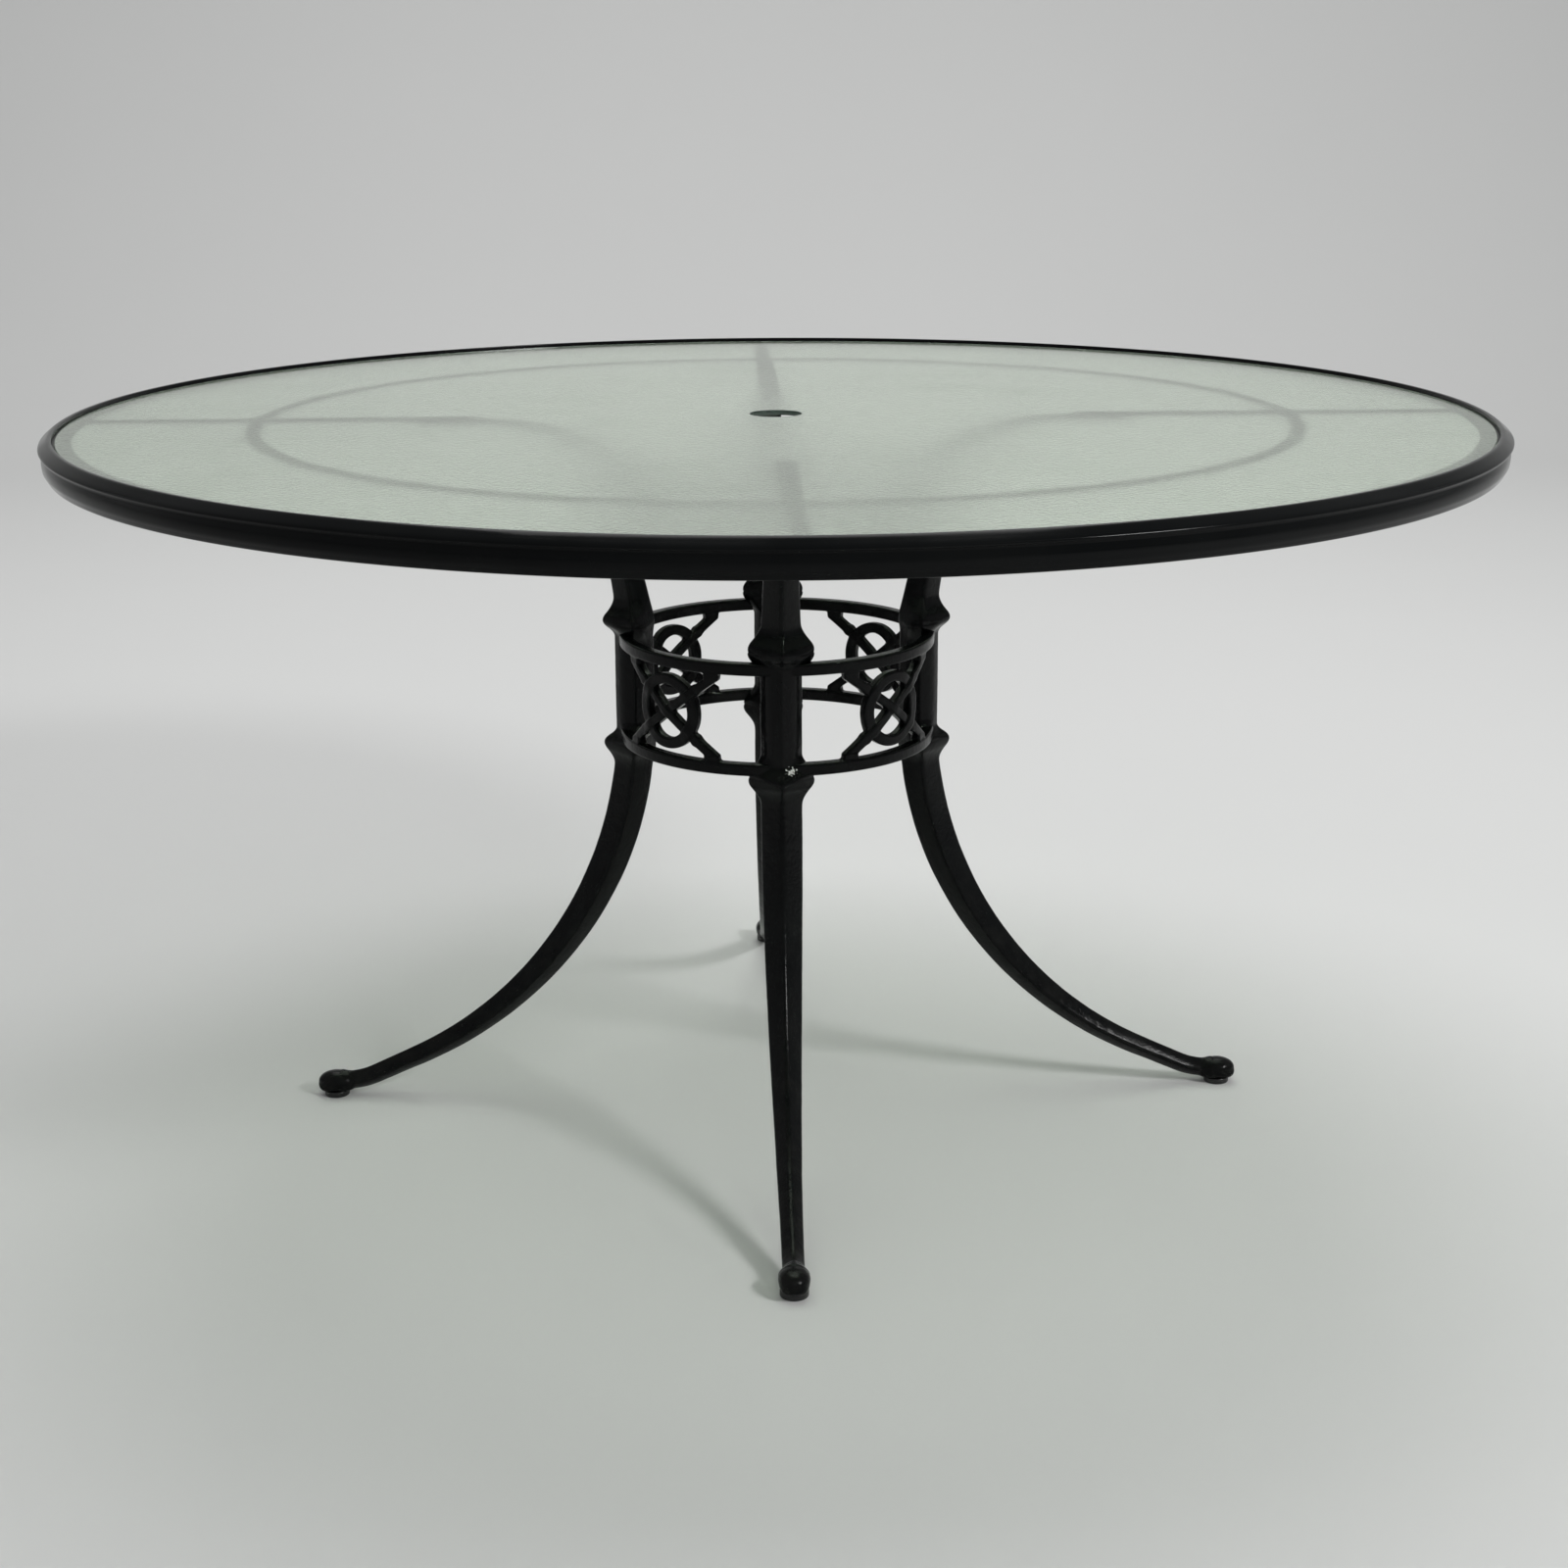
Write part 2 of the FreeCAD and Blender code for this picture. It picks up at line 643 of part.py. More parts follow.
def slab(name, width, height, angle, across, up):
    """A Part::Box that stands across the panel's mid direction, centred at across, up and turned by angle."""
    box = doc.addObject("Part::Box", name)
    bind(box, Length=size["collar_radius"] * 2, Width=width, Height=height)
    tilt = math.radians(angle.value)
    across, up = Dim.of(across), Dim.of(up)
    half_w, half_h = width / 2, height / 2
    turn_c, turn_s = cosine(angle), sine(angle)
    box.Placement.Rotation = FreeCAD.Rotation(Vector(1, 0, 0), math.degrees(tilt))
    bind(box, Placement__Base__y=across - half_w * turn_c + half_h * turn_s,
         Placement__Base__z=up - half_w * turn_s - half_h * turn_c)
    box.setExpression("Placement.Rotation.Angle", "%s * 1 deg" % angle.text)
    return box


# Collar panel: rails, a round band and two crossing straps, cast in one and curved round the table's axis
def make_panels(legs):
    rail = size["rail_height"]
    centre_z = size["collar_top"] - size["collar_height"] / 2
    reach = size["collar_radius"] * 1.5
    rail_gap = size["collar_height"] / 2 - rail / 2
    slope = size["strap_angle"]
    strap_half = size["strap_width"] / 2
    strap_end = size["knee_offset"] + size["knee_width"] / 2 - strap_half * sine(slope)
    knee_z = strap_end * sine(slope) / cosine(slope) - strap_half * cosine(slope) - size["knee_drop"]
    level = Dim.of(0.0)
    for number, angle in enumerate(quarter_turns, start=1):
        pieces = []
        for name, side in (("upper", 1), ("lower", -1)):
            pieces.append(slab("%s_rail_%d" % (name, number), reach, rail, level, 0.0, centre_z + rail_gap * side))
        for name, side in (("rising", 1), ("falling", -1)):
            length = strap_end * 2 / cosine(slope)
            tilt = slope * side
            pieces.append(slab("%s_strap_%d" % (name, number), length, size["strap_width"], tilt, 0.0, centre_z))
        for k, (side, up) in enumerate(((1, 1), (1, -1), (-1, 1), (-1, -1))):
            stub = size["collar_height"] / 2 - knee_z
            middle = (centre_z + (knee_z + stub / 2) * up)
            pieces.append(slab("knee_%d_%d" % (number, k + 1), size["knee_width"], stub, level,
                               size["knee_offset"] * side, middle))
        band_outer = doc.addObject("Part::Cylinder", "band_outer_%d" % number)
        band_inner = doc.addObject("Part::Cylinder", "band_inner_%d" % number)
        for cylinder, radius in ((band_outer, size["motif_ring_radius"]),
                                 (band_inner, size["motif_ring_radius"] - size["motif_band"])):
            cylinder.Placement.Rotation = FreeCAD.Rotation(Vector(0, 1, 0), 90)
            bind(cylinder, Radius=radius, Height=size["collar_radius"] * 2, Placement__Base__z=centre_z)
        band = doc.addObject("Part::Cut", "band_%d" % number)
        band.Base = band_outer
        band.Tool = band_inner
        pattern = doc.addObject("Part::MultiFuse", "pattern_%d" % number)
        pattern.Shapes = pieces + [band]
        foot_z = size["collar_top"] - size["collar_height"]
        outer = disc("collar_outer_%d" % number, size["collar_radius"], size["collar_height"], Dim.of(0), foot_z)
        outer.Angle = 90
        outer.Placement.Rotation = FreeCAD.Rotation(Vector(0, 0, 1), -45)
        inner = disc("collar_inner_%d" % number, size["collar_radius"] - size["collar_depth"],
                     size["collar_height"], Dim.of(0), foot_z)
        shell = doc.addObject("Part::Cut", "collar_shell_%d" % number)
        shell.Base = outer
        shell.Tool = inner
        curved = doc.addObject("Part::MultiCommon", "curved_pattern_%d" % number)
        curved.Shapes = [pattern, shell]
        curved.Placement = turned(angle + 45)
        first_cut = doc.addObject("Part::Cut", "panel_first_cut_%d" % number)
        first_cut.Base = curved
        first_cut.Tool = legs[number - 1]
        panel = doc.addObject("Part::Cut", "panel_cut_%d" % number)
        panel.Base = first_cut
        panel.Tool = legs[number % 4]
        keep(panel, "collar_panel_%d" % number)


# Spoke: tapered bar from the leg's flat end to the rim's ledge, notched for the ring
def make_spokes():
    start = Dim.of(leg_marks["palm_radius"])
    end = wall_radius - size["spoke_end_gap"]
    inner_half = size["spoke_inner_width"] / 2
    outer_half = size["spoke_outer_width"] / 2
    notch_in = size["ring_radius"] - size["ring_width"] / 2 - size["fit_gap"]
    notch_out = size["ring_radius"] + size["ring_width"] / 2 + size["fit_gap"]
    screw_hole = size["screw_radius"] + size["fit_gap"]
    bolt_hole = size["bolt_radius"] + size["fit_gap"]

    def draw_plan(sketch):
        draw_outline(sketch, [(start, -inner_half), (end, -outer_half), (end, outer_half), (start, inner_half)])

    def draw_notch(sketch):
        draw_outline(sketch, [(notch_in, -inner_half), (notch_out, -inner_half),
                              (notch_out, inner_half), (notch_in, inner_half)])

    def draw_screws(sketch):
        draw_circle(sketch, size["ring_radius"], 0, screw_hole)
        draw_circle(sketch, rim_screw_radius, 0, screw_hole)
        for k in range(2):
            draw_circle(sketch, start + size["bolt_first"] + size["bolt_spacing"] * k, 0, bolt_hole)

    for number, angle in enumerate(quarter_turns, start=1):
        body = new_body("top_spoke_%d" % number)
        bar = raise_outline(body, "bar_%d" % number, draw_plan, size["spoke_thickness"], spoke_foot_z)
        doc.recompute()
        bevel = body.newObject("PartDesign::Chamfer", "underside_bevel_%d" % number)
        bevel.Base = (bar, long_lower_edges(bar.Shape))
        bind(bevel, Size=size["spoke_bevel"])
        drill(body, "ring_notch_%d" % number, draw_notch, spoke_foot_z, size["ring_thickness"])
        drill(body, "screw_holes_%d" % number, draw_screws, spoke_foot_z, size["spoke_thickness"])
        body.Placement = turned(angle)


def long_lower_edges(shape):
    """Names of the two long edges on the underside of the spoke."""
    lowest = shape.BoundBox.ZMin
    longest = max(edge.Length for edge in shape.Edges)
    names = []
    for i, edge in enumerate(shape.Edges, start=1):
        if edge.BoundBox.ZMax < lowest + 0.01 and edge.Length > longest * 0.9:
            names.append("Edge%d" % i)
    return names


# Threaded insert: pressed into the foot
def make_inserts():
    inner = size["stud_radius"] + size["thread_clearance"]
    outer = inner + size["insert_wall"]
    for number, angle in enumerate(quarter_turns, start=1):
        sleeve = disc("insert_sleeve_%d" % number, outer, size["insert_length"], size["foot_radius"], foot_flat_z)
        bore = disc("insert_bore_%d" % number, inner, size["insert_length"], size["foot_radius"], foot_flat_z)
        insert = doc.addObject("Part::Cut", "insert_cut_%d" % number)
        insert.Base = sleeve
        insert.Tool = bore
        insert.Placement = turned(angle)
        keep(insert, "foot_insert_%d" % number)


def stand_under_foot(body, angle):
    """Move a body made about its own upright axis to its foot."""
    out = turned(angle).multVec(Vector(1, 0, 0))
    body.Placement.Base = Vector(out.x * size["foot_radius"].value, out.y * size["foot_radius"].value, 0)
    body.setExpression("Placement.Base.x", "%s * %d" % (size["foot_radius"].text, round(out.x)))
    body.setExpression("Placement.Base.y", "%s * %d" % (size["foot_radius"].text, round(out.y)))


# Levelling glide: a stud that turns in the insert, with a pad that swivels on its flange
def make_glides():
    flange_foot = size["pad_floor"] + size["socket_clearance"]
    flange_top = flange_foot + size["flange_height"]
    socket_top = flange_top + size["socket_clearance"]
    socket_radius = size["flange_radius"] + size["swivel_clearance"]
    neck_radius = size["stud_radius"] + size["swivel_clearance"]
    bevel = size["pad_bevel"]
    for number, angle in enumerate(quarter_turns, start=1):
        stud = new_body("glide_stud_%d" % number)
        spin(stud, "stud_turning_%d" % number, [
            (0, flange_foot),
            (size["flange_radius"], flange_foot),
            (size["flange_radius"], flange_top),
            (size["stud_radius"], flange_top),
            (size["stud_radius"], size["stud_height"] - 1),
            (size["stud_radius"] - 1, size["stud_height"]),
            (0, size["stud_height"]),
        ])
        stand_under_foot(stud, angle)
        pad = new_body("glide_pad_%d" % number)
        spin(pad, "pad_turning_%d" % number, [
            (0, 0),
            (size["pad_radius"] - bevel, 0),
            (size["pad_radius"], bevel),
            (size["pad_radius"], size["pad_height"] - bevel),
            (size["pad_radius"] - bevel, size["pad_height"]),
            (neck_radius, size["pad_height"]),
            (neck_radius, socket_top),
            (socket_radius, socket_top),
            (socket_radius, size["pad_floor"]),
            (0, size["pad_floor"]),
        ])
        stand_under_foot(pad, angle)


def headed_screw(name, radius, length, head_radius, head_height, socket_flats):
    """A screw that stands on its head: head below height 0, shank above it, hexagon socket in the head."""
    shank = doc.addObject("Part::Cylinder", name + "_shank")
    bind(shank, Radius=radius, Height=length)
    head = doc.addObject("Part::Cylinder", name + "_head")
    bind(head, Radius=head_radius, Height=head_height, Placement__Base__z=-head_height)
    whole = doc.addObject("Part::MultiFuse", name + "_whole")
    whole.Shapes = [shank, head]
    socket = doc.addObject("Part::Prism", name + "_socket")
    socket.Polygon = 6
    bind(socket, Circumradius=socket_flats * 0.577, Height=head_height * 0.6, Placement__Base__z=-head_height)
    screw = doc.addObject("Part::Cut", name)
    screw.Base = whole
    screw.Tool = socket
    doc.recompute()
    return screw


def along_spokes(radii, height):
    """Places on all four spokes, at each radius, at one height."""
    return [turned(angle).multiply(FreeCAD.Placement(Vector(radius, 0, height), FreeCAD.Rotation()))
            for angle in quarter_turns for radius in radii]


# Fasteners: bolts and washers at the legs, screws at the ring and the rim
def make_fasteners():
    first = leg_marks["palm_radius"] + size["bolt_first"].value
    bolt_radii = [first, first + size["bolt_spacing"].value]
    washer_foot_z = palm_foot_z - size["washer_thickness"]
    bolt_length = spoke_top_z - size["bolt_end_gap"] - washer_foot_z
    bolt = headed_screw("bolt_master", size["bolt_radius"], bolt_length, size["bolt_head_radius"],
                        size["bolt_head_height"], size["bolt_socket_flats"])
    copies("arm_bolts", bolt, along_spokes(bolt_radii, washer_foot_z.value))
    washer_disc = disc("washer_disc", size["washer_radius"], size["washer_thickness"], Dim.of(0), Dim.of(0))
    washer_bore = disc("washer_bore", size["bolt_radius"] + size["fit_gap"], size["washer_thickness"],
                       Dim.of(0), Dim.of(0))
    washer = doc.addObject("Part::Cut", "washer_master")
    washer.Base = washer_disc
    washer.Tool = washer_bore
    copies("arm_washers", washer, along_spokes(bolt_radii, washer_foot_z.value))
    ring_length = size["spoke_thickness"] - size["screw_end_gap"]
    ring_screw = headed_screw("ring_screw_master", size["screw_radius"], ring_length, size["screw_head_radius"],
                              size["screw_head_height"], size["screw_socket_flats"])
    copies("ring_screws", ring_screw, along_spokes([size["ring_radius"].value], spoke_foot_z.value))
    rim_length = size["spoke_thickness"] + size["rim_wall"] - size["screw_end_gap"]
    rim_screw = headed_screw("rim_screw_master", size["screw_radius"], rim_length, size["screw_head_radius"],
                             size["screw_head_height"], size["screw_socket_flats"])
    copies("rim_screws", rim_screw, along_spokes([rim_screw_radius.value], spoke_foot_z.value))


def check_and_export():
    """Stop on a failed object or a bad shape, then write one STEP file for each node."""
    doc.recompute()
    for thing in doc.Objects:
        if "Invalid" in thing.State or "Error" in thing.State:
            raise RuntimeError("failed: %s %s" % (thing.Name, thing.State))
    for node in nodes:
        if node.Shape.isNull() or not node.Shape.isValid() or not node.Shape.Solids:
            raise RuntimeError("bad shape: " + node.Label)
    os.makedirs("parts", exist_ok=True)
    for node in nodes:
        node.Shape.exportStep("parts/%s.step" % node.Label)
        print("%-18s solids %2d volume %10.1f mm3" % (node.Label, len(node.Shape.Solids), node.Shape.Volume))


make_glass()
make_rim()
make_cushion()
make_ring()
make_bumpers()
make_panels(make_legs())
make_spokes()
make_inserts()
make_glides()
make_fasteners()
check_and_export()
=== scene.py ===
import math

import bmesh
import bpy
from mathutils import Matrix, Vector, noise


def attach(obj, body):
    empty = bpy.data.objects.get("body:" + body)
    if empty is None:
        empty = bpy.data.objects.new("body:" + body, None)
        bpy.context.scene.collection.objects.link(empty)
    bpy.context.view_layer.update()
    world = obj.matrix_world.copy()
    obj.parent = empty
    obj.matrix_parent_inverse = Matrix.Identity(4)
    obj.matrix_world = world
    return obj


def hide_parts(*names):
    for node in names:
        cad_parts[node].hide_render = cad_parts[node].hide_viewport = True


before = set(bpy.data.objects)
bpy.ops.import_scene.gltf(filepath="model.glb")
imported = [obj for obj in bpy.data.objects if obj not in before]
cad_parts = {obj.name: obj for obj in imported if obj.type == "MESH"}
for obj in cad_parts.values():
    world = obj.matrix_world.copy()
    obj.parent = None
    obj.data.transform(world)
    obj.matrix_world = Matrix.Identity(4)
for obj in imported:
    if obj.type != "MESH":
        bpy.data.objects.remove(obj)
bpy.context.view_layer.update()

mm = 0.001
quarterTurns = (0, 90, 180, 270)


# Shader wiring: a wire is one output, and sums on wires add their own Math nodes


class Wire:
    def __init__(self, finish, socket):
        self.finish = finish
        self.socket = socket

    def sum(self, operation, first, second):
        return self.finish.node("ShaderNodeMath", {"operation": operation}, {0: first, 1: second})

    def __add__(self, other):
        return self.sum("ADD", self, other)

    def __radd__(self, other):
        return self.sum("ADD", other, self)

    def __sub__(self, other):
        return self.sum("SUBTRACT", self, other)

    def __mul__(self, other):
        return self.sum("MULTIPLY", self, other)

    def __truediv__(self, other):
        return self.sum("DIVIDE", self, other)


class Finish:
    def __init__(self, name):
        self.material = bpy.data.materials.new(name)
        self.material.use_nodes = True
        self.tree = self.material.node_tree
        self.shader = self.tree.nodes["Principled BSDF"]
        self.place = self.node("ShaderNodeTexCoord", out="Object")

    def node(self, kind, settings=None, sockets=None, out=0):
        made = self.tree.nodes.new(kind)
        for key, value in (settings or {}).items():
            if key == "stops":
                self.setStops(made.color_ramp, value)
            else:
                setattr(made, key, value)
        for key, value in (sockets or {}).items():
            self.plug(made.inputs[key], value)
        return Wire(self, made.outputs[out])

    def plug(self, target, value):
        if isinstance(value, Wire):
            self.tree.links.new(value.socket, target)
        else:
            target.default_value = value

    def setStops(self, ramp, stops):
        while len(ramp.elements) < len(stops):
            ramp.elements.new(0.5)
        for element, (position, shade) in zip(ramp.elements, stops):
            element.position = position
            element.color = (shade, shade, shade, 1)

    def noise(self, scale, detail=3, roughness=0.5):
        return self.node("ShaderNodeTexNoise", None,
                         {"Vector": self.place, "Scale": scale, "Detail": detail, "Roughness": roughness})

    def ramp(self, value, *stops):
        return self.node("ShaderNodeValToRGB", {"stops": stops}, {"Fac": value})

    def mix(self, share, first, second):
        return self.node("ShaderNodeMix", {"data_type": "RGBA"}, {0: share, 6: first, 7: second}, out=2)

    def bump(self, height, distance, strength):
        return self.node("ShaderNodeBump", None,
                         {"Height": height, "Distance": distance, "Strength": strength})

    def surface(self, **values):
        for key, value in values.items():
            self.plug(self.shader.inputs[key.replace("_", " ")], value)
        return self.material


# Finishes: a name that ends in Scale is a noise scale, in cells for each metre

coatFinish = {
    "rimCloudScale": 9.0,
    "rimGrainScale": 420.0,
    "rimScuffScale": 160.0,
    "frameCloudScale": 30.0,
    "frameGrainScale": 900.0,
    "black": (0.0018, 0.0023, 0.0025, 1),
    "worn": (0.007, 0.0078, 0.0075, 1),
    "scuff": (0.03, 0.03, 0.03, 1),
    "gloss": 0.11,
    "dull": 0.32,
    "specular": 0.1,
}


def rimCoat():
    finish = Finish("rimCoat")
    cloud = finish.ramp(finish.noise(coatFinish["rimCloudScale"], 4), (0.42, 0), (0.66, 1))
    fine = finish.noise(coatFinish["rimGrainScale"], 2)
    scuffs = finish.ramp(finish.noise(coatFinish["rimScuffScale"], 5, 0.7), (0.68, 0), (0.75, 1)) * cloud
    colour = finish.mix(cloud * 0.3, coatFinish["black"], coatFinish["worn"])
    colour = finish.mix(scuffs * 0.25, colour, coatFinish["scuff"])
    rough = coatFinish["gloss"] + cloud * 0.1 + scuffs * 0.15
    normal = finish.bump(fine, 0.00006, 0.3)
    return finish.surface(Base_Color=colour, Roughness=rough, Normal=normal,
                          Specular_IOR_Level=coatFinish["specular"])


castFinish = {
    "grainScale": 620.0,
    "pitScale": 170.0,
    "cloudScale": 22.0,
    "dustScale": 60.0,
    "speckScale": 520.0,
    "raggedScale": 420.0,
    "rough": 0.1,
    "dustHeight": 0.4,
    "dust": (0.09, 0.085, 0.075, 1),
    "speck": (0.2, 0.19, 0.175, 1),
    "chipPlace": (0.0068, -0.1556, 0.3842),
    "chipSize": 0.0102,
    "chipColour": (0.97, 0.97, 0.96, 1),
}


def castCoat():
    finish = Finish("castCoat")
    grain = finish.noise(castFinish["grainScale"], 3, 0.6)
    pits = finish.ramp(finish.noise(castFinish["pitScale"], 4, 0.6), (0.35, 0), (0.62, 1))
    cloud = finish.ramp(finish.noise(castFinish["cloudScale"], 4), (0.4, 0), (0.7, 1))
    height = finish.node("ShaderNodeSeparateXYZ", None, {0: finish.place}, out="Z")
    low = finish.ramp(height / castFinish["dustHeight"], (0.0, 1), (0.9, 0))
    dust = low * finish.ramp(finish.noise(castFinish["dustScale"], 4), (0.35, 0), (0.7, 1))
    specks = finish.ramp(finish.noise(castFinish["speckScale"], 2, 0.6), (0.68, 0), (0.73, 1)) * low
    away = finish.node("ShaderNodeVectorMath", {"operation": "DISTANCE"},
                       {0: finish.place, 1: castFinish["chipPlace"]}, out="Value")
    ragged = away / castFinish["chipSize"] + (finish.noise(castFinish["raggedScale"], 2) - 0.5) * 1.1
    chip = finish.ramp(ragged, (0.6, 1), (0.68, 0))
    colour = finish.mix(cloud * 0.35, coatFinish["black"], coatFinish["worn"])
    colour = finish.mix(dust * 0.06, colour, castFinish["dust"])
    colour = finish.mix(specks * 0.16, colour, castFinish["speck"])
    colour = finish.mix(chip, colour, castFinish["chipColour"])
    rough = castFinish["rough"] + cloud * 0.07 + pits * 0.05 + dust * 0.05 + chip * 0.25
    normal = finish.bump(pits * 0.8 + grain * 0.35, 0.00045, 0.35)
    return finish.surface(Base_Color=colour, Roughness=rough, Normal=normal,
                          Specular_IOR_Level=coatFinish["specular"])


def frameCoat():
    finish = Finish("frameCoat")
    cloud = finish.ramp(finish.noise(coatFinish["frameCloudScale"], 3), (0.4, 0), (0.7, 1))
    grain = finish.noise(coatFinish["frameGrainScale"], 2)
    colour = finish.mix(cloud * 0.4, coatFinish["black"], coatFinish["worn"])
    rough = coatFinish["dull"] + cloud * 0.12
    normal = finish.bump(grain, 0.0001, 0.5)
    return finish.surface(Base_Color=colour, Roughness=rough, Normal=normal,
                          Specular_IOR_Level=coatFinish["specular"])


glassFinish = {
    "tint": (0.885, 1.0, 0.855, 1),
    "stain": (0.58, 0.70, 0.55, 1),
    "clear": 0.06,
    "frosted": 0.27,
    "middle": 0.7025,
    "cutRadius": 0.0258,
    # Near-black at the hole's cut edge: painted shade for the dark inside of the hole
    "holeShadeColour": (0.018, 0.03, 0.025, 1),
    "see": 0.93,
    "pebbleScale": 300.0,
    "stainScale": 9.0,
    "spotScale": 55.0,
    "grainScale": 75.0,
    "pebbleDepth": 0.0006,
    "smoothSide": 0.25,
    "index": 1.5,
}


# Smooth on its upper face, pebbled on its lower one
def obscureGlass():
    finish = Finish("obscureGlass")
    pebbles = finish.node("ShaderNodeTexVoronoi", {"feature": "SMOOTH_F1"},
                          {"Vector": finish.place, "Scale": glassFinish["pebbleScale"], "Smoothness": 0.8})
    ripple = finish.noise(glassFinish["pebbleScale"] * 1.7, 2)
    height = finish.node("ShaderNodeSeparateXYZ", None, {0: finish.place}, out="Z")
    under = finish.node("ShaderNodeMath", {"operation": "LESS_THAN"}, {0: height, 1: glassFinish["middle"]})
    stains = finish.ramp(finish.noise(glassFinish["stainScale"], 6, 0.62), (0.5, 0), (0.75, 1))
    spots = finish.ramp(finish.noise(glassFinish["spotScale"], 3, 0.6), (0.67, 0), (0.72, 1))
    grain = finish.ramp(finish.noise(glassFinish["grainScale"], 5, 0.72), (0.4, 0), (0.64, 1))
    mottle = stains * 0.3 + grain * 0.32 + spots * 0.5
    colour = finish.mix(mottle, glassFinish["tint"], glassFinish["stain"])
    flat = finish.node("ShaderNodeVectorMath", {"operation": "MULTIPLY"}, {0: finish.place, 1: (1, 1, 0)})
    radius = finish.node("ShaderNodeVectorMath", {"operation": "LENGTH"}, {0: flat}, out="Value")
    # Within cutRadius of the axis the glass is painted near-black, as painted shade for the dark inside of
    # the hole
    cut = finish.node("ShaderNodeMath", {"operation": "LESS_THAN"}, {0: radius, 1: glassFinish["cutRadius"]})
    colour = finish.mix(cut, colour, glassFinish["holeShadeColour"])
    rough = glassFinish["clear"] + stains * 0.04 + spots * 0.1 + under * glassFinish["frosted"]
    depth = under * (1 - glassFinish["smoothSide"]) + glassFinish["smoothSide"]
    normal = finish.bump((pebbles * 0.7 + ripple * 0.5) * depth, glassFinish["pebbleDepth"], 0.5)
    return finish.surface(Base_Color=colour, Roughness=rough, Normal=normal,
                          Transmission_Weight=glassFinish["see"], IOR=glassFinish["index"])


steelFinish = {
    "dark": (0.36, 0.36, 0.37, 1),
    "light": (0.55, 0.56, 0.57, 1),
    "cloudScale": 260.0,
    "turnedScale": 1400.0,
    "rough": 0.28,
}
padFinish = {
    "black": (0.009, 0.009, 0.009, 1),
    "scuff": (0.05, 0.048, 0.045, 1),
    "cloudScale": 240.0,
    "scuffScale": 700.0,
    "rough": 0.16,
}
vinylFinish = {"cloudScale": 190.0, "grainScale": 1100.0}


def zincSteel():
    finish = Finish("zincSteel")
    cloud = finish.noise(steelFinish["cloudScale"], 4, 0.6)
    turned = finish.noise(steelFinish["turnedScale"], 2)
    rough = steelFinish["rough"] + cloud * 0.2
    colour = finish.mix(cloud, steelFinish["dark"], steelFinish["light"])
    normal = finish.bump(turned, 0.00005, 0.5)
    return finish.surface(Base_Color=colour, Roughness=rough, Metallic=1.0, Normal=normal)


def padPlastic():
    finish = Finish("padPlastic")
    cloud = finish.noise(padFinish["cloudScale"], 3)
    scuffs = finish.ramp(finish.noise(padFinish["scuffScale"], 3), (0.55, 0), (0.8, 1))
    colour = finish.mix(scuffs * 0.5, padFinish["black"], padFinish["scuff"])
    normal = finish.bump(scuffs, 0.00006, 0.5)
    return finish.surface(Base_Color=colour, Roughness=padFinish["rough"] + cloud * 0.14, Normal=normal)


def softVinyl(name, dark, light, rough):
    finish = Finish(name)
    cloud = finish.noise(vinylFinish["cloudScale"], 3)
    colour = finish.mix(cloud, dark, light)
    normal = finish.bump(finish.noise(vinylFinish["grainScale"], 2), 0.00008, 0.5)
    return finish.surface(Base_Color=colour, Roughness=rough + cloud * 0.12, Normal=normal)


rimMaterial = rimCoat()
castMaterial = castCoat()
frameMaterial = frameCoat()
glassMaterial = obscureGlass()
steelMaterial = zincSteel()
padMaterial = padPlastic()
stripMaterial = softVinyl("blackVinyl", (0.008, 0.008, 0.008, 1), (0.022, 0.022, 0.021, 1), 0.5)
dotMaterial = softVinyl("clearVinyl", (0.5, 0.52, 0.5, 1), (0.66, 0.68, 0.65, 1), 0.32)
print("finishes made")


# Mesh helpers


def addObject(name, mesh):
    piece = bpy.data.objects.new(name, mesh)
    bpy.context.scene.collection.objects.link(piece)
    return piece


def shadeSmooth(mesh, sharpAngle=40):
    work = bmesh.new()
    work.from_mesh(mesh)
    for face in work.faces:
        face.smooth = True
    limit = math.radians(sharpAngle)
    for edge in work.edges:
        edge.smooth = len(edge.link_faces) != 2 or edge.calc_face_angle(0) < limit
    work.to_mesh(mesh)
    work.free()


# Quads between neighbouring closed loops of points, with fans at the two ends unless it closes round
def loopMesh(name, loops, closeRound=False):
    work = bmesh.new()
    rings = [[work.verts.new(point) for point in loop] for loop in loops]
    pairs = list(zip(rings, rings[1:]))
    if closeRound:
        pairs.append((rings[-1], rings[0]))
    for one, two in pairs:
        for k in range(len(one)):
            nextK = (k + 1) % len(one)
            work.faces.new((one[k], one[nextK], two[nextK], two[k]))
    if not closeRound:
        for ring in (rings[0], rings[-1]):
            hub = work.verts.new(sum((vert.co for vert in ring), Vector()) / len(ring))
            for k in range(len(ring)):
                work.faces.new((ring[k], ring[(k + 1) % len(ring)], hub))
    bmesh.ops.recalc_face_normals(work, faces=work.faces)
    mesh = bpy.data.meshes.new(name)
    work.to_mesh(mesh)
    work.free()
    return mesh


def finishPiece(piece, material, body, replaced=()):
    piece.data.materials.clear()
    piece.data.materials.append(material)
    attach(piece, body)
    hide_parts(*replaced)


def turnedCopy(mesh, name, angle):
    copy = mesh.copy()
    copy.name = name
    copy.transform(Matrix.Rotation(math.radians(angle), 4, "Z"))
    return addObject(name, copy)


# The closed outline with each corner cut back by radius and rounded
def rounded(points, radius, steps=4):
    out = []
    count = len(points)
    for k in range(count):
        corner = Vector(points[k])
        before = Vector(points[k - 1]) - corner
        after = Vector(points[(k + 1) % count]) - corner
        reach = min(radius, before.length * 0.45, after.length * 0.45)
        start = corner + before.normalized() * reach
        end = corner + after.normalized() * reach
        for step in range(steps + 1):
            t = step / steps
            out.append(start * (1 - t) ** 2 + corner * 2 * t * (1 - t) + end * t * t)
    return out


# Geometry Nodes: a tree from a short list of nodes


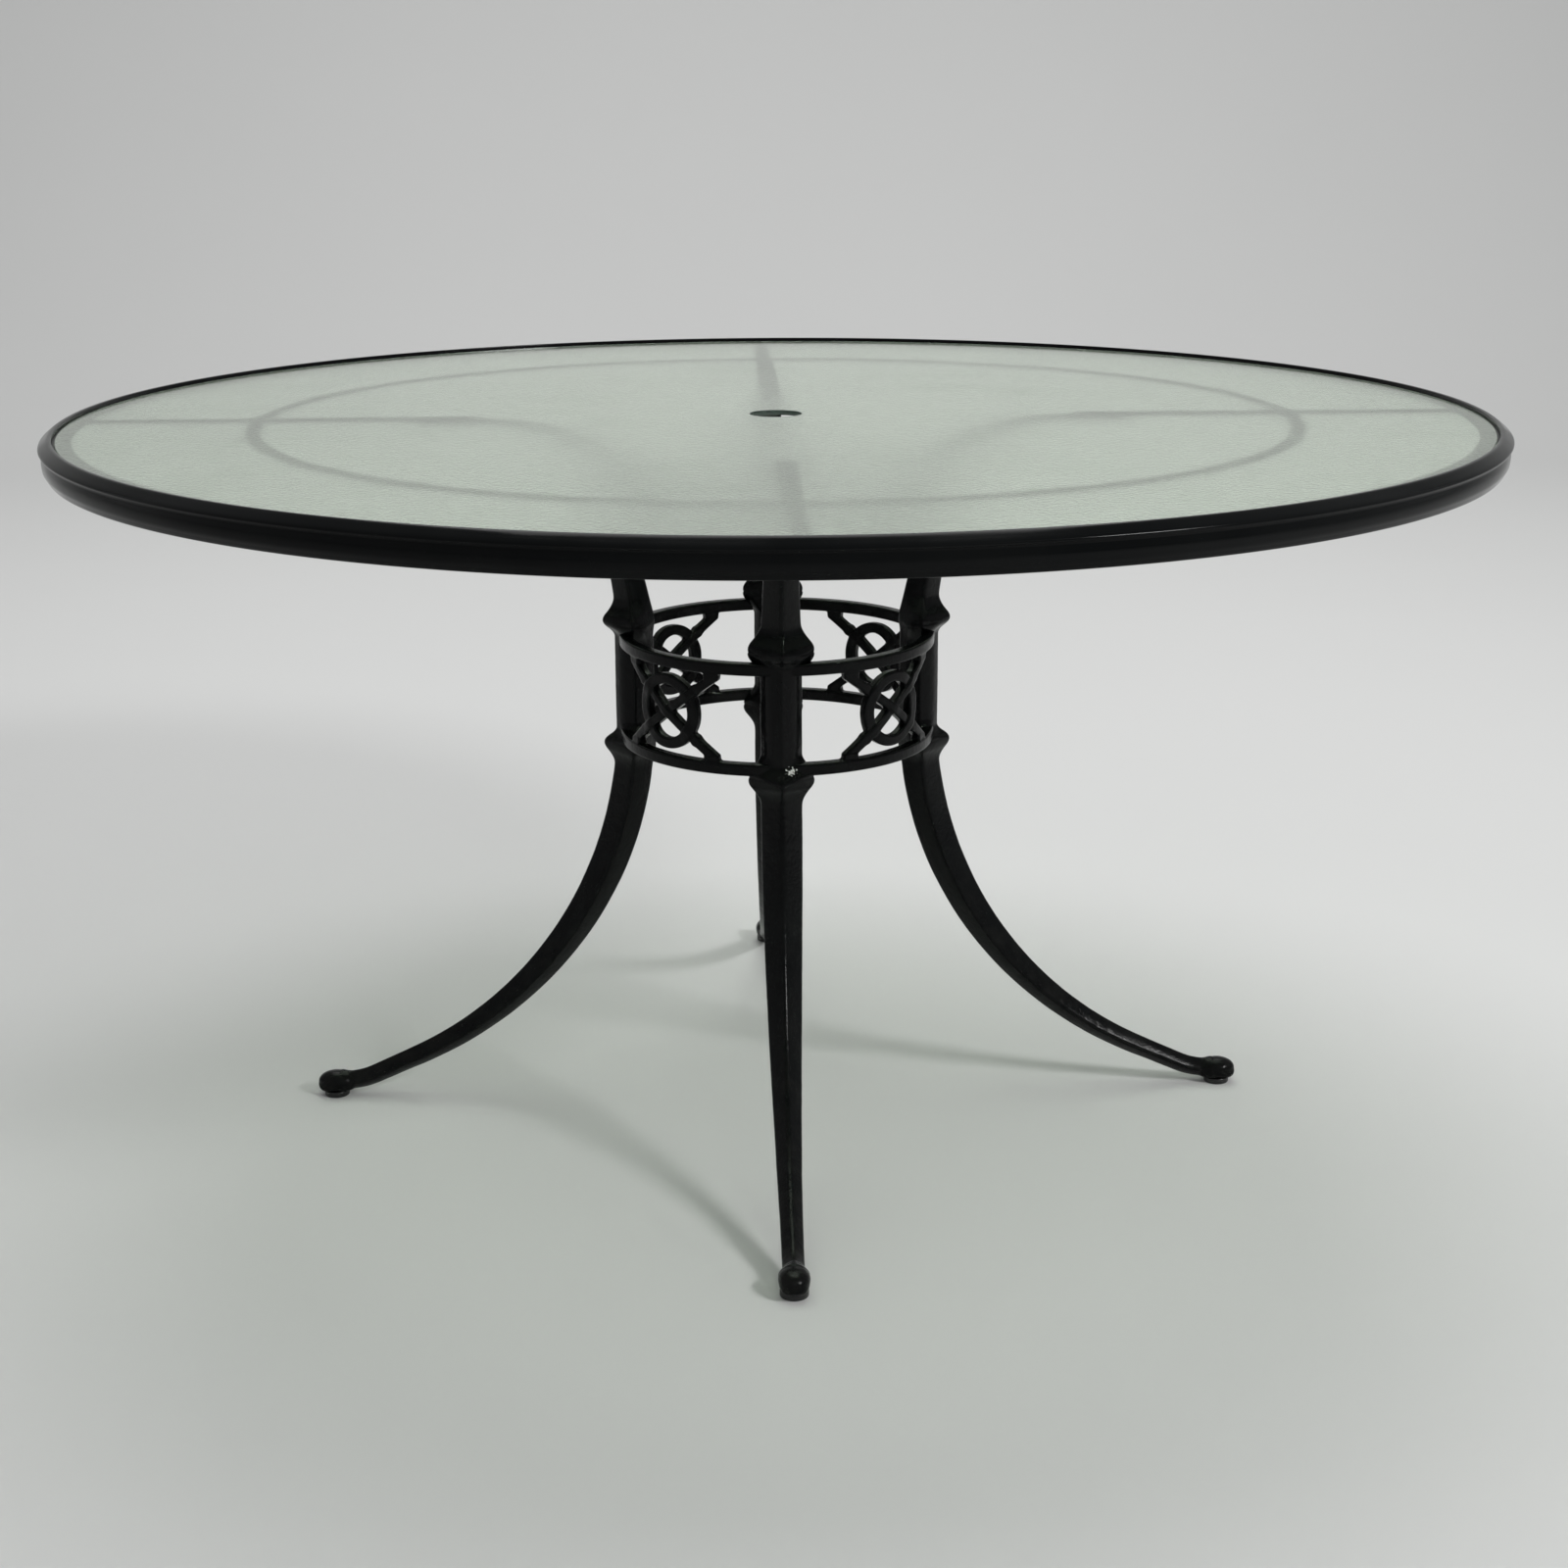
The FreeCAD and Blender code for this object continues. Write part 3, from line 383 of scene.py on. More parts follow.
class Tree:
    def __init__(self, name):
        self.group = bpy.data.node_groups.new(name, "GeometryNodeTree")
        self.group.interface.new_socket(name="Geometry", in_out="OUTPUT", socket_type="NodeSocketGeometry")
        self.inputNode = self.group.nodes.new("NodeGroupInput")
        self.outputNode = self.group.nodes.new("NodeGroupOutput")
        self.values = {}

    def input(self, name, value, kind="NodeSocketFloat"):
        socket = self.group.interface.new_socket(name=name, in_out="INPUT", socket_type=kind)
        self.values[socket.identifier] = value
        return self.inputNode.outputs[name]

    def node(self, kind, settings=None, sockets=None, out=0):
        made = self.group.nodes.new(kind)
        for key, value in (settings or {}).items():
            setattr(made, key, value)
        for key, value in (sockets or {}).items():
            if isinstance(value, bpy.types.NodeSocket):
                self.group.links.new(value, made.inputs[key])
            else:
                made.inputs[key].default_value = value
        return made.outputs[out]

    # Realizes the geometry as a plain mesh piece
    def bake(self, name, geometry, material):
        real = self.node("GeometryNodeRealizeInstances", None, {0: geometry})
        coated = self.node("GeometryNodeSetMaterial", None, {0: real, "Material": material})
        self.group.links.new(coated, self.outputNode.inputs[0])
        carrier = addObject(name + "Carrier", bpy.data.meshes.new(name + "Carrier"))
        modifier = carrier.modifiers.new("Nodes", "NODES")
        modifier.node_group = self.group
        for identifier, value in self.values.items():
            modifier[identifier] = value
        bpy.context.view_layer.update()
        evaluated = carrier.evaluated_get(bpy.context.evaluated_depsgraph_get())
        mesh = bpy.data.meshes.new_from_object(evaluated)
        carrier.modifiers.remove(modifier)
        bpy.data.objects.remove(carrier)
        mesh.name = name
        return addObject(name, mesh)


# Edges only, in the plane that Curve to Mesh reads: x out along the radius, y down
def profileObject(name, points):
    mesh = bpy.data.meshes.new(name)
    verts = [(x * mm, -y * mm, 0) for x, y in points]
    edges = [(k, (k + 1) % len(verts)) for k in range(len(verts))]
    mesh.from_pydata(verts, edges, [])
    return addObject(name, mesh)


# A profile, given as (out from radius, height), rolled round the table's axis by Geometry Nodes
def rolledRing(name, points, radius, segments, material):
    profile = profileObject(name + "Profile", points)
    tree = Tree(name + "Tree")
    radiusIn = tree.input("Radius", radius * mm)
    segmentsIn = tree.input("Segments", segments, "NodeSocketInt")
    profileIn = tree.input("Profile", profile, "NodeSocketObject")
    circle = tree.node("GeometryNodeCurvePrimitiveCircle", {"mode": "RADIUS"},
                       {"Radius": radiusIn, "Resolution": segmentsIn}, out="Curve")
    section = tree.node("GeometryNodeObjectInfo", None, {"Object": profileIn}, out="Geometry")
    sectionCurve = tree.node("GeometryNodeMeshToCurve", None, {"Mesh": section})
    rolled = tree.node("GeometryNodeCurveToMesh", None,
                       {"Curve": circle, "Profile Curve": sectionCurve, "Fill Caps": False})
    piece = tree.bake(name, rolled, material)
    bpy.data.objects.remove(profile)
    work = bmesh.new()
    work.from_mesh(piece.data)
    bmesh.ops.remove_doubles(work, verts=work.verts, dist=1e-6)
    bmesh.ops.recalc_face_normals(work, faces=work.faces)
    work.to_mesh(piece.data)
    work.free()
    shadeSmooth(piece.data, 38)
    return piece


# Rim, glass and the strip between them

top = {
    "lipHeight": 708.4,
    "noseRadius": 689.85,
    "slopeRun": 8.5,
    "slopeDrop": 6.8,
    "lipWidth": 4.0,
    "noseHeight": 2.6,
    "bandStep": 3.0,
    "bandBelly": 0.9,
    "bandTuck": 3.5,
    "tuckHeight": 5.4,
    "rimHeight": 31.85,
    "ledgeWidth": 18.0,
    "ledgeTop": 698.5,
    "ledgeFoot": 696.5,
    "segments": 360,
}


# The outline runs out along the lip, down the nose and band, and back under the ledge that holds the glass
def makeRim():
    lip = top["lipHeight"]
    foot = lip - top["rimHeight"]
    nose = top["noseRadius"]
    crease = nose - top["slopeRun"]
    wall = crease - top["lipWidth"]
    noseTop = lip - top["slopeDrop"]
    noseFoot = noseTop - top["noseHeight"]
    band = nose - top["bandStep"]
    slope = Vector((nose - crease, noseTop - lip))
    outline = [(wall, lip - 0.8), (wall + 0.25, lip - 0.25), (wall + 0.9, lip), (crease - 1.2, lip)]
    outline += [(crease - 0.3, lip - 0.12), (crease + 0.5, lip - 0.55)]
    for k in range(1, 5):
        t = k / 5
        outline.append((crease + slope.x * t, lip + slope.y * t))
    outline += [(nose - 1.1, noseTop + 0.75), (nose - 0.4, noseTop - 0.05), (nose, noseTop - 0.9)]
    outline += [(nose, noseFoot + 0.6), (nose - 0.4, noseFoot - 0.1), (nose - 1.5, noseFoot - 0.45)]
    outline += [(band + 0.4, noseFoot - 0.75), (band, noseFoot - 1.6)]
    tuck = top["bandTuck"]
    tuckTop = foot + top["tuckHeight"]
    for k in range(1, 9):
        t = k / 8
        height = noseFoot - 1.6 + (tuckTop + 1.2 - noseFoot + 1.6) * t
        outline.append((band + top["bandBelly"] * math.sin(math.pi * min(1, t * 0.86)), height))
    outline += [(band - tuck * 0.2, tuckTop - 0.4), (band - tuck * 0.42, foot + 3.2)]
    outline.append((band - tuck * 0.7, foot + 1.2))
    outline += [(band - tuck * 0.9, foot + 0.3), (band - tuck * 1.15, foot)]
    outline += [(wall + 0.5, foot), (wall, foot + 0.5), (wall, top["ledgeFoot"] - 0.2)]
    ledge = wall - top["ledgeWidth"]
    outline += [(ledge + 0.4, top["ledgeFoot"]), (ledge, top["ledgeFoot"] + 0.4)]
    outline.append((ledge, top["ledgeTop"] - 0.4))
    outline += [(ledge + 0.4, top["ledgeTop"]), (wall - 0.2, top["ledgeTop"]), (wall, top["ledgeTop"] + 0.2)]
    rim = rolledRing("rolledRim", [(x - nose, y) for x, y in outline], nose, top["segments"], rimMaterial)
    finishPiece(rim, rimMaterial, "table", ["rim_frame"])
    print("rim", len(rim.data.polygons), "faces")
    return wall


glass = {
    "edgeGap": 2.5,
    "topHeight": 705.0,
    "thickness": 5.0,
    "holeRadius": 25.0,
    "arris": 0.9,
    "rows": (0.001, 0.1, 0.3, 0.5, 0.7, 0.9, 0.999),
    "stripWidth": 13.0,
    "stripUpstand": 3.0,
    "stripThickness": 1.5,
    "stripEdge": 0.35,
}


def makeGlass(wall):
    edge = wall - glass["edgeGap"]
    high = glass["topHeight"]
    low = high - glass["thickness"]
    corners = [(glass["holeRadius"], low), (edge, low), (edge, high), (glass["holeRadius"], high)]
    outline = [tuple(point) for point in rounded(corners, glass["arris"], 4)]
    # Rows across the broad faces, the first close to the arris, keep their shading flat
    extra = []
    for k, point in enumerate(outline):
        extra.append(point)
        following = outline[(k + 1) % len(outline)]
        if abs(following[0] - point[0]) > 100:
            extra += [(point[0] + (following[0] - point[0]) * t, point[1]) for t in glass["rows"]]
    profile = [(x - edge, y) for x, y in extra]
    sheet = rolledRing("glassSheet", profile, edge, top["segments"], glassMaterial)
    finishPiece(sheet, glassMaterial, "table", ["glass_top"])
    inner = wall - glass["stripWidth"]
    lift = low + glass["stripUpstand"]
    under = low - glass["stripThickness"]
    strip = [(inner, under), (wall - 0.05, under), (wall - 0.05, lift), (edge + 0.1, lift),
             (edge + 0.1, low - 0.02), (inner, low - 0.02)]
    profile = [(x - wall, y) for x, y in rounded(strip, glass["stripEdge"], 2)]
    cushion = rolledRing("glassStrip", profile, wall, top["segments"], stripMaterial)
    finishPiece(cushion, stripMaterial, "table", ["glass_cushion"])
    print("glass", len(sheet.data.polygons), "faces")


wallRadius = makeRim()
makeGlass(wallRadius)


# Support ring and its soft dots

support = {
    "radius": 498.0,
    "width": 13.9,
    "foot": 688.5,
    "thickness": 5.0,
    "dotRadius": 6.0,
    "dotHeight": 6.45,
    "dotCount": 8,
    "segments": 240,
    "edge": 0.9,
    "dotEdge": 0.7,
}


def makeSupport():
    half = support["width"] / 2
    low = support["foot"]
    high = low + support["thickness"]
    corners = [(-half, low), (half, low), (half, high), (-half, high)]
    outline = [tuple(point) for point in rounded(corners, support["edge"], 3)]
    ring = rolledRing("supportRing", outline, support["radius"], support["segments"], frameMaterial)
    finishPiece(ring, frameMaterial, "table", ["support_ring"])
    tree = Tree("dotTree")
    count = tree.input("Count", support["dotCount"], "NodeSocketInt")
    radius = tree.input("Ring radius", support["radius"] * mm)
    dotRadius = tree.input("Dot radius", support["dotRadius"] * mm)
    dotHeight = tree.input("Dot height", support["dotHeight"] * mm)
    lift = tree.input("Lift", (0, 0, (high + support["dotHeight"] / 2) * mm), "NodeSocketVector")
    spots = tree.node("GeometryNodeMeshCircle", None, {"Vertices": count, "Radius": radius})
    shape = {"Vertices": 24, "Side Segments": 1, "Radius": dotRadius, "Depth": dotHeight}
    dot = tree.node("GeometryNodeMeshCylinder", None, shape, out="Mesh")
    placed = tree.node("GeometryNodeInstanceOnPoints", None, {"Points": spots, "Instance": dot})
    turn = tree.input("Turn", (0, 0, math.pi / support["dotCount"]), "NodeSocketVector")
    lifted = tree.node("GeometryNodeTransform", None,
                       {"Geometry": placed, "Translation": lift, "Rotation": turn})
    dots = tree.bake("glassDots", lifted, dotMaterial)
    bevel = dots.modifiers.new("Edge", "BEVEL")
    bevel.width = support["dotEdge"] * mm
    bevel.segments = 2
    finishPiece(dots, dotMaterial, "table", ["glass_bumpers"])
    shadeSmooth(dots.data, 45)
    print("support ring and dots made")


makeSupport()


# Legs: rounded rhombic castings swept along the leg's own curve

leg = {
    "axisRadius": 142.0,
    "depth": 38.2,
    "width": 39.3,
    "footDepth": 19.5,
    "footWidth": 20.0,
    "sweepTop": 401.0,
    "straight": 49.0,
    "bend": 80.0,
    "taper": 470.0,
    "footRadius": 461.0,
    "endInset": 9.0,
    "flareStart": 496.0,
    "flareHigh": 115.0,
    "flareSplit": 50.0,
    "palmThickness": 7.9,
    "palmWidth": 20.0,
    "palmLength": 54.0,
    "palmMiddle": 684.5,
    "palmBevel": 1.0,
    "ridgeFlat": 3.2,
    "ridgeSoft": 1.3,
    "knobLength": 37.0,
    "knobWidth": 28.4,
    "knobHeight": 21.4,
    "knobMiddle": 15.3,
    "flatHeight": 6.3,
    "knuckleProud": 11.9,
    "knuckleShort": 9.5,
    "knuckleHollow": 1.5,
    "knuckleCrown": 8.0,
    "knuckleInner": 0.15,
    "weldRun": 22.0,
    "faceBelly": 0.3,
    "collarBelly": 2.4,
    "knobUnder": 3.2,
    "neckBlend": 4.5,
    "swayScale": 0.035,
    "sway": 0.2,
    "dentScale": 0.13,
    "dent": 0.1,
    "markFirst": 0.03,
    "markFine": 1.2,
    "markCoarse": 3.0,
    "collarMark": 35.0,
    "collarReach": 105.0,
}
# Middle height of each bead, the side on which it is long and hollow, and that side's length
knuckles = ((503.0, 1, 19.8), (375.5, -1, 18.0))
# Tilt of the centre line up to which a stretch counts as upright
uprightTilt = math.radians(20)


# Turn and radius of the sweep that bring the straight and the last bend to the foot
def sweepFit(drop, reach):
    low, high = math.radians(20), math.radians(88)
    for step in range(60):
        turn = (low + high) / 2
        down = drop - leg["bend"] * (1 - math.sin(turn)) - leg["straight"] * math.cos(turn)
        out = reach - leg["bend"] * math.cos(turn) - leg["straight"] * math.sin(turn)
        if out * math.sin(turn) > down * (1 - math.cos(turn)):
            low = turn
        else:
            high = turn
    return turn, down / math.sin(turn)


# Stretches of the centre line from the knob up, as (name, length, place)
def legLine():
    axis = leg["axisRadius"]
    endRadius = leg["footRadius"] - leg["endInset"]
    turn, sweep = sweepFit(leg["sweepTop"] - leg["knobMiddle"], endRadius - axis)
    bend = leg["bend"]
    bendRadius = endRadius - bend * math.cos(turn)
    bendHeight = leg["knobMiddle"] + bend * (1 - math.sin(turn))
    split = math.radians(leg["flareSplit"])
    high = leg["flareHigh"]
    low = (leg["palmMiddle"] - leg["flareStart"] - high * (1 - math.sin(split))) / math.sin(split)
    splitRadius = axis + low * (1 - math.cos(split))
    splitHeight = leg["flareStart"] + low * math.sin(split)
    palmStart = splitRadius + high * math.cos(split)
    knobReach = leg["knobLength"] / 2 + leg["endInset"]

    def onKnob(gone):
        return endRadius + knobReach - gone, leg["knobMiddle"], -math.pi / 2

    def onBend(gone):
        angle = math.pi / 2 - gone / bend
        return endRadius - bend * math.cos(angle), leg["knobMiddle"] + bend * (1 - math.sin(angle)), -angle

    def onStraight(gone):
        return bendRadius - gone * math.sin(turn), bendHeight + gone * math.cos(turn), -turn

    def onSweep(gone):
        angle = turn - gone / sweep
        return axis + sweep * (1 - math.cos(angle)), leg["sweepTop"] - sweep * math.sin(angle), -angle

    def onUpright(gone):
        return axis, leg["sweepTop"] + gone, 0.0

    def onLowFlare(gone):
        angle = gone / low
        return axis + low * (1 - math.cos(angle)), leg["flareStart"] + low * math.sin(angle), angle

    def onHighFlare(gone):
        angle = split + gone / high
        return (splitRadius + high * (math.cos(split) - math.cos(angle)),
                splitHeight + high * (math.sin(angle) - math.sin(split)), angle)

    def onPalm(gone):
        return palmStart + gone, leg["palmMiddle"], math.pi / 2

    return [
        ("knob", knobReach, onKnob),
        ("bend", bend * (math.pi / 2 - turn), onBend),
        ("straight", leg["straight"], onStraight),
        ("sweep", sweep * turn, onSweep),
        ("upright", leg["flareStart"] - leg["sweepTop"], onUpright),
        ("lowFlare", low * split, onLowFlare),
        ("highFlare", high * (math.pi / 2 - split), onHighFlare),
        ("palm", leg["palmLength"], onPalm),
    ]


def knuckleReach(height):
    reach = 0.0
    for middle, longSide, longRun in knuckles:
        away = (height - middle) * longSide
        run = longRun if away > 0 else leg["knuckleShort"]
        left = 1 - max(0.0, abs(away) - leg["knuckleCrown"] / 2) / run
        if left > 0:
            reach = max(reach, leg["knuckleProud"] * left ** (leg["knuckleHollow"] if away > 0 else 1.0))
    return reach


# How far the beads stand out from the leg, with their edges eased
def knuckleSwell(height, tilt):
    if abs(tilt) > uprightTilt:
        return 0.0
    return sum(knuckleReach(height + k * 0.9) for k in range(-4, 5)) / 9


def ease(share):
    share = min(1.0, max(0.0, share))
    return share * share * (3 - 2 * share)


# How far the weld between bead and rail stands out at the leg's sides
def weldSwell(height):
    reach = 0.0
    for middle, longSide, longRun in knuckles:
        away = (middle - height) * longSide - leg["knuckleCrown"] / 2
        if away > 0:
            reach = max(reach, leg["knuckleProud"] * (1 - ease(away / leg["weldRun"])))
    return reach


# How full the faces are: fullest between the two beads
def faceBelly(height):
    high, low = knuckles[0][0], knuckles[1][0]
    inside = ease((height - low + 4) / 10) * ease((high + 4 - height) / 10)
    return leg["faceBelly"] + (leg["collarBelly"] - leg["faceBelly"]) * inside


# The casting's rhombic section with soft ridges and full faces, as points (outwards, across)
def barSection(depth, width, flatten, belly):
    ridge = leg["ridgeFlat"] / 2
    across = ridge + (width - leg["palmBevel"] - ridge) * flatten
    upright = ridge + (depth - leg["palmBevel"] - ridge) * flatten
    corners = [(-depth, -across), (-depth, across), (-upright, width), (upright, width),
               (depth, across), (depth, -across), (upright, -width), (-upright, -width)]
    soft = rounded(corners, leg["ridgeSoft"] * (1 - flatten * 0.5), 2)
    section = []
    for k, point in enumerate(soft):
        section.append(point)
        if k % 6 == 5:
            following = soft[(k + 1) % len(soft)]
            edge = following - point
            outwards = Vector((edge.y, -edge.x)).normalized()
            if outwards.dot(point + following) < 0:
                outwards.negate()
            for t in (0.12, 0.3, 0.5, 0.7, 0.88):
                bulge = outwards * belly * math.sin(math.pi * t) * (1 - flatten)
                section.append(point.lerp(following, t) + bulge)
    return section


# Half height of the knob's outline at a distance along it from its centre; fullness 2 is an ellipse
def knobShare(away, fullness=2.0):
    return max(0.0, 1 - abs(away) ** fullness) ** (1 / fullness)


# Distances along the leg at which it gets a section, closest at the knob and round the collar
def legMarks(starts, total):
    marks = []
    mark = leg["markFirst"]
    while mark < total:
        marks.append(mark)
        atCollar = abs(mark - starts["upright"] - leg["collarMark"]) < leg["collarReach"]
        fine = 0.3 + mark * 0.25 if mark < 5 else leg["markFine"]
        mark += fine if mark < starts["straight"] or atCollar else leg["markCoarse"]
    return marks + [total]


def makeLegMesh():
    line = legLine()
    starts = {}
    gone = 0.0
    for name, length, place in line:
        starts[name] = gone
        gone += length
    flareLength = starts["palm"] - starts["lowFlare"]
    loops = []
    for mark in legMarks(starts, gone):
        for name, length, place in line:
            if mark <= starts[name] + length + 1e-6:
                radius, height, tilt = place(mark - starts[name])
                break
        full = ease((mark - starts["bend"]) / leg["taper"])
        toPalm = min(1.0, max(0.0, (mark - starts["lowFlare"]) / flareLength))
        swell = knuckleSwell(height, tilt)
        depth = (leg["depth"] * full + leg["footDepth"] * (1 - full)) / 2
        width = (leg["width"] * full + leg["footWidth"] * (1 - full)) / 2
        depth += (leg["palmThickness"] / 2 - depth) * toPalm + swell
        width += (leg["palmWidth"] / 2 - width) * toPalm + swell
        centre = Vector((radius, 0, height))
        out = Vector((math.cos(tilt), 0, -math.sin(tilt)))
        away = (radius - leg["footRadius"]) / (leg["knobLength"] / 2) if mark < starts["straight"] else 1.0
        bar = min(1.0, max(0.0, mark - leg["knobLength"] * 0.5) / 6.0) if mark < starts["bend"] + 6 else 1.0
        inner = 1 - swell * (1 - leg["knuckleInner"]) / depth
        upright = abs(tilt) < uprightTilt
        weld = max(0.0, weldSwell(height) - swell) if upright else 0.0
        belly = faceBelly(height) if upright else leg["faceBelly"]
        loop = []
        for u, v in barSection(depth, width, max(0.0, toPalm * 2 - 1), belly * bar):
            if u < 0:
                u *= inner
            side = abs(v) / math.hypot(u, v)
            v += math.copysign(weld * ease((side - 0.5) / 0.4), v)
            reach = math.hypot(u, v)
            towards = (out * u + Vector((0, v, 0))) / reach
            c, t = u / reach, v / reach
            reach *= bar
            if abs(away) < 1:
                under = ease(-towards.z * 1.4)
                fullness = 2 + (leg["knobUnder"] - 2) * under
                ball = knobShare(away) * (1 - under) + knobShare(away, leg["knobUnder"]) * under
                tall, wide = leg["knobHeight"] / 2 * ball, leg["knobWidth"] / 2 * ball
                rise = (leg["knobMiddle"] - height) * towards.z
                ballReach = (abs(c / tall) ** fullness + abs(t / wide) ** fullness) ** (-1 / fullness)
                ballReach += rise
                blend = leg["neckBlend"]
                reach = (max(reach, 0.01) ** blend + max(ballReach, 0.01) ** blend) ** (1 / blend)
            point = centre + towards * reach
            sway = noise.noise(point * leg["swayScale"]) * leg["sway"]
            wobble = sway + noise.noise(point * leg["dentScale"]) * leg["dent"]
            point += towards * wobble * (1 - toPalm) * min(1.0, reach / 6)
            if mark < starts["sweep"]:
                point.z = max(point.z, leg["flatHeight"])
            loop.append(point * mm)
        loops.append(loop)
    mesh = loopMesh("legCasting", loops)
    shadeSmooth(mesh, 60)
    return mesh


legMesh = makeLegMesh()
for number, angle in enumerate(quarterTurns, start=1):
    casting = turnedCopy(legMesh, "legCasting%d" % number, angle)
    finishPiece(casting, castMaterial, "table", ["leg_%d" % number])
print("legs made,", len(legMesh.polygons), "faces each")


# Collar panels: rails, a round band and two woven straps

collar = {
    "radius": 156.9,
    "depth": 12.0,
    "middle": 436.2,
    "railHigh": 49.2,
    "railLow": 48.2,
    "railHeight": 12.0,
    "ringRadius": 31.6,
    "ringStretch": 1.035,
    "ringWidth": 10.5,
    "ringSide": 2.2,
    "strapWidth": 9.4,
    "strapDepth": 9.6,
    "slope": 35.0,
    "kneeOffset": 53.2,
    "kneeWidth": 15.3,
    "weave": 1.3,
    "bumpAt": 43.0,
    "bumpWidth": 2.6,
    "voxel": 0.85,
    "halfAngle": 44.0,
    "railSoft": 2.2,
    "strapSoft": 2.0,
    "crossingReach": 8.0,
    "bumpReach": 3.2,
    "kneeSwell": 0.6,
    "kneeBack": 0.6,
    "softShare": 0.5,
    "softRounds": 5,
}


# Rounded-rectangle loops along a path of (across, up, out, extra width) on the collar's cylinder
def bandLoops(path, width, depth, soft):
    loops = []
    count = len(path)
    for k, (across, up, out, extra) in enumerate(path):
        before = path[max(0, k - 1)]
        after = path[min(count - 1, k + 1)]
        along = Vector((after[0] - before[0], after[1] - before[1])).normalized()
        sideways = Vector((-along.y, along.x))
        half = width / 2 + extra
        corners = [(-half, -depth / 2), (half, -depth / 2), (half, depth / 2), (-half, depth / 2)]
        loop = []
        for u, v in rounded(corners, soft, 3):
            s = across + sideways.x * u
            z = up + sideways.y * u
            r = collar["radius"] - depth / 2 + out + v
            turn = s / collar["radius"]
            loop.append(Vector((r * math.cos(turn), r * math.sin(turn), collar["middle"] + z)) * mm)
        loops.append(loop)
    return loops


# One strap across the middle, woven over and under the round band; side 1 rises to the right
def strapPath(side):
    slope = math.radians(collar["slope"])
    reach = collar["kneeOffset"] + collar["kneeWidth"] / 2 - collar["strapWidth"] / 2 * math.sin(slope)
    path = []
    for k in range(-40, 41):
        across = reach * k / 40
        up = across * math.tan(slope) * side
        far = math.hypot(across, up)
        overRing = math.exp(-((far - collar["ringRadius"]) / collar["crossingReach"]) ** 2)
        atMiddle = math.exp(-(far / collar["crossingReach"]) ** 2)
        out = collar["weave"] * side * (overRing - atMiddle)
        extra = collar["bumpWidth"] / 2 * math.exp(-((far - collar["bumpAt"]) / collar["bumpReach"]) ** 2)
        path.append((across, up, out - collar["weave"], extra))
    return path


# The short upright that joins the end of a strap to its rail
def kneePath(sideways, upwards):
    slope = math.radians(collar["slope"])
    strapEnd = (collar["kneeOffset"] + collar["kneeWidth"] / 2) * math.tan(slope)
    start = strapEnd - collar["strapWidth"] / 2 / math.cos(slope)
    path = []
    rail = collar["railHigh"] if upwards > 0 else collar["railLow"]
    for k in range(9):
        up = start + (rail - start) * k / 8
        swell = collar["kneeSwell"] * math.exp(-((k - 3) / 2.0) ** 2)
        back = -collar["weave"] * collar["kneeBack"]
        path.append((collar["kneeOffset"] * sideways, up * upwards, back, swell))
    return path


def makePanelMesh():
    shells = []
    halfTurn = collar["radius"] * math.radians(collar["halfAngle"])
    for up in (collar["railHigh"], -collar["railLow"]):
        rail = [(-halfTurn + k * halfTurn / 40, up, 0, 0) for k in range(81)]
        bar = bandLoops(rail, collar["railHeight"], collar["depth"], collar["railSoft"])
        shells.append(loopMesh("rail", bar))
    for side in (1, -1):
        strap = bandLoops(strapPath(side), collar["strapWidth"], collar["strapDepth"], collar["strapSoft"])
        shells.append(loopMesh("strap", strap))
        for sideways in (1, -1):
            path = kneePath(sideways, side)
            knee = bandLoops(path, collar["kneeWidth"], collar["strapDepth"], collar["strapSoft"])
            shells.append(loopMesh("knee", knee))
    ringPath = []
    count = 120
    slope = math.radians(collar["slope"])
    crossings = ((slope, -1), (math.pi - slope, 1), (math.pi + slope, -1), (2 * math.pi - slope, 1))
    for k in range(count + 1):
        turn = 2 * math.pi * k / count
        across = collar["ringRadius"] * collar["ringStretch"] * math.cos(turn)
        up = collar["ringRadius"] * math.sin(turn)
        out = 0.0
        for crossing, level in crossings:
            away = abs((turn - crossing + math.pi) % (2 * math.pi) - math.pi)
            out += level * math.exp(-(away * collar["ringRadius"] / collar["crossingReach"]) ** 2)
        wider = collar["ringSide"] / 2 * abs(math.cos(turn))
        ringPath.append((across, up, collar["weave"] * out - collar["weave"], wider))
    loops = bandLoops(ringPath, collar["ringWidth"], collar["strapDepth"], collar["strapSoft"])
    shells.append(loopMesh("ring", loops[:-1], closeRound=True))
    joined = bmesh.new()
    for shell in shells:
        joined.from_mesh(shell)
    mesh = bpy.data.meshes.new("collarPanel")
    joined.to_mesh(mesh)
    joined.free()
    carrier = addObject("panelCarrier", mesh)
    remesh = carrier.modifiers.new("Cast", "REMESH")
    remesh.mode = "VOXEL"
    remesh.voxel_size = collar["voxel"] * mm
    smooth = carrier.modifiers.new("Soften", "SMOOTH")
    smooth.factor = collar["softShare"]
    smooth.iterations = collar["softRounds"]
    bpy.context.view_layer.update()
    evaluated = carrier.evaluated_get(bpy.context.evaluated_depsgraph_get())
    cast = bpy.data.meshes.new_from_object(evaluated)
    carrier.modifiers.clear()
    bpy.data.objects.remove(carrier)
    shadeSmooth(cast, 60)
    return cast


panelMesh = makePanelMesh()
for number, angle in enumerate(quarterTurns, start=1):
    panel = turnedCopy(panelMesh, "collarPanel%d" % number, angle + 45)
    finishPiece(panel, castMaterial, "table", ["collar_panel_%d" % number])
print("collar made,", len(panelMesh.polygons), "faces each")


# Glide pads

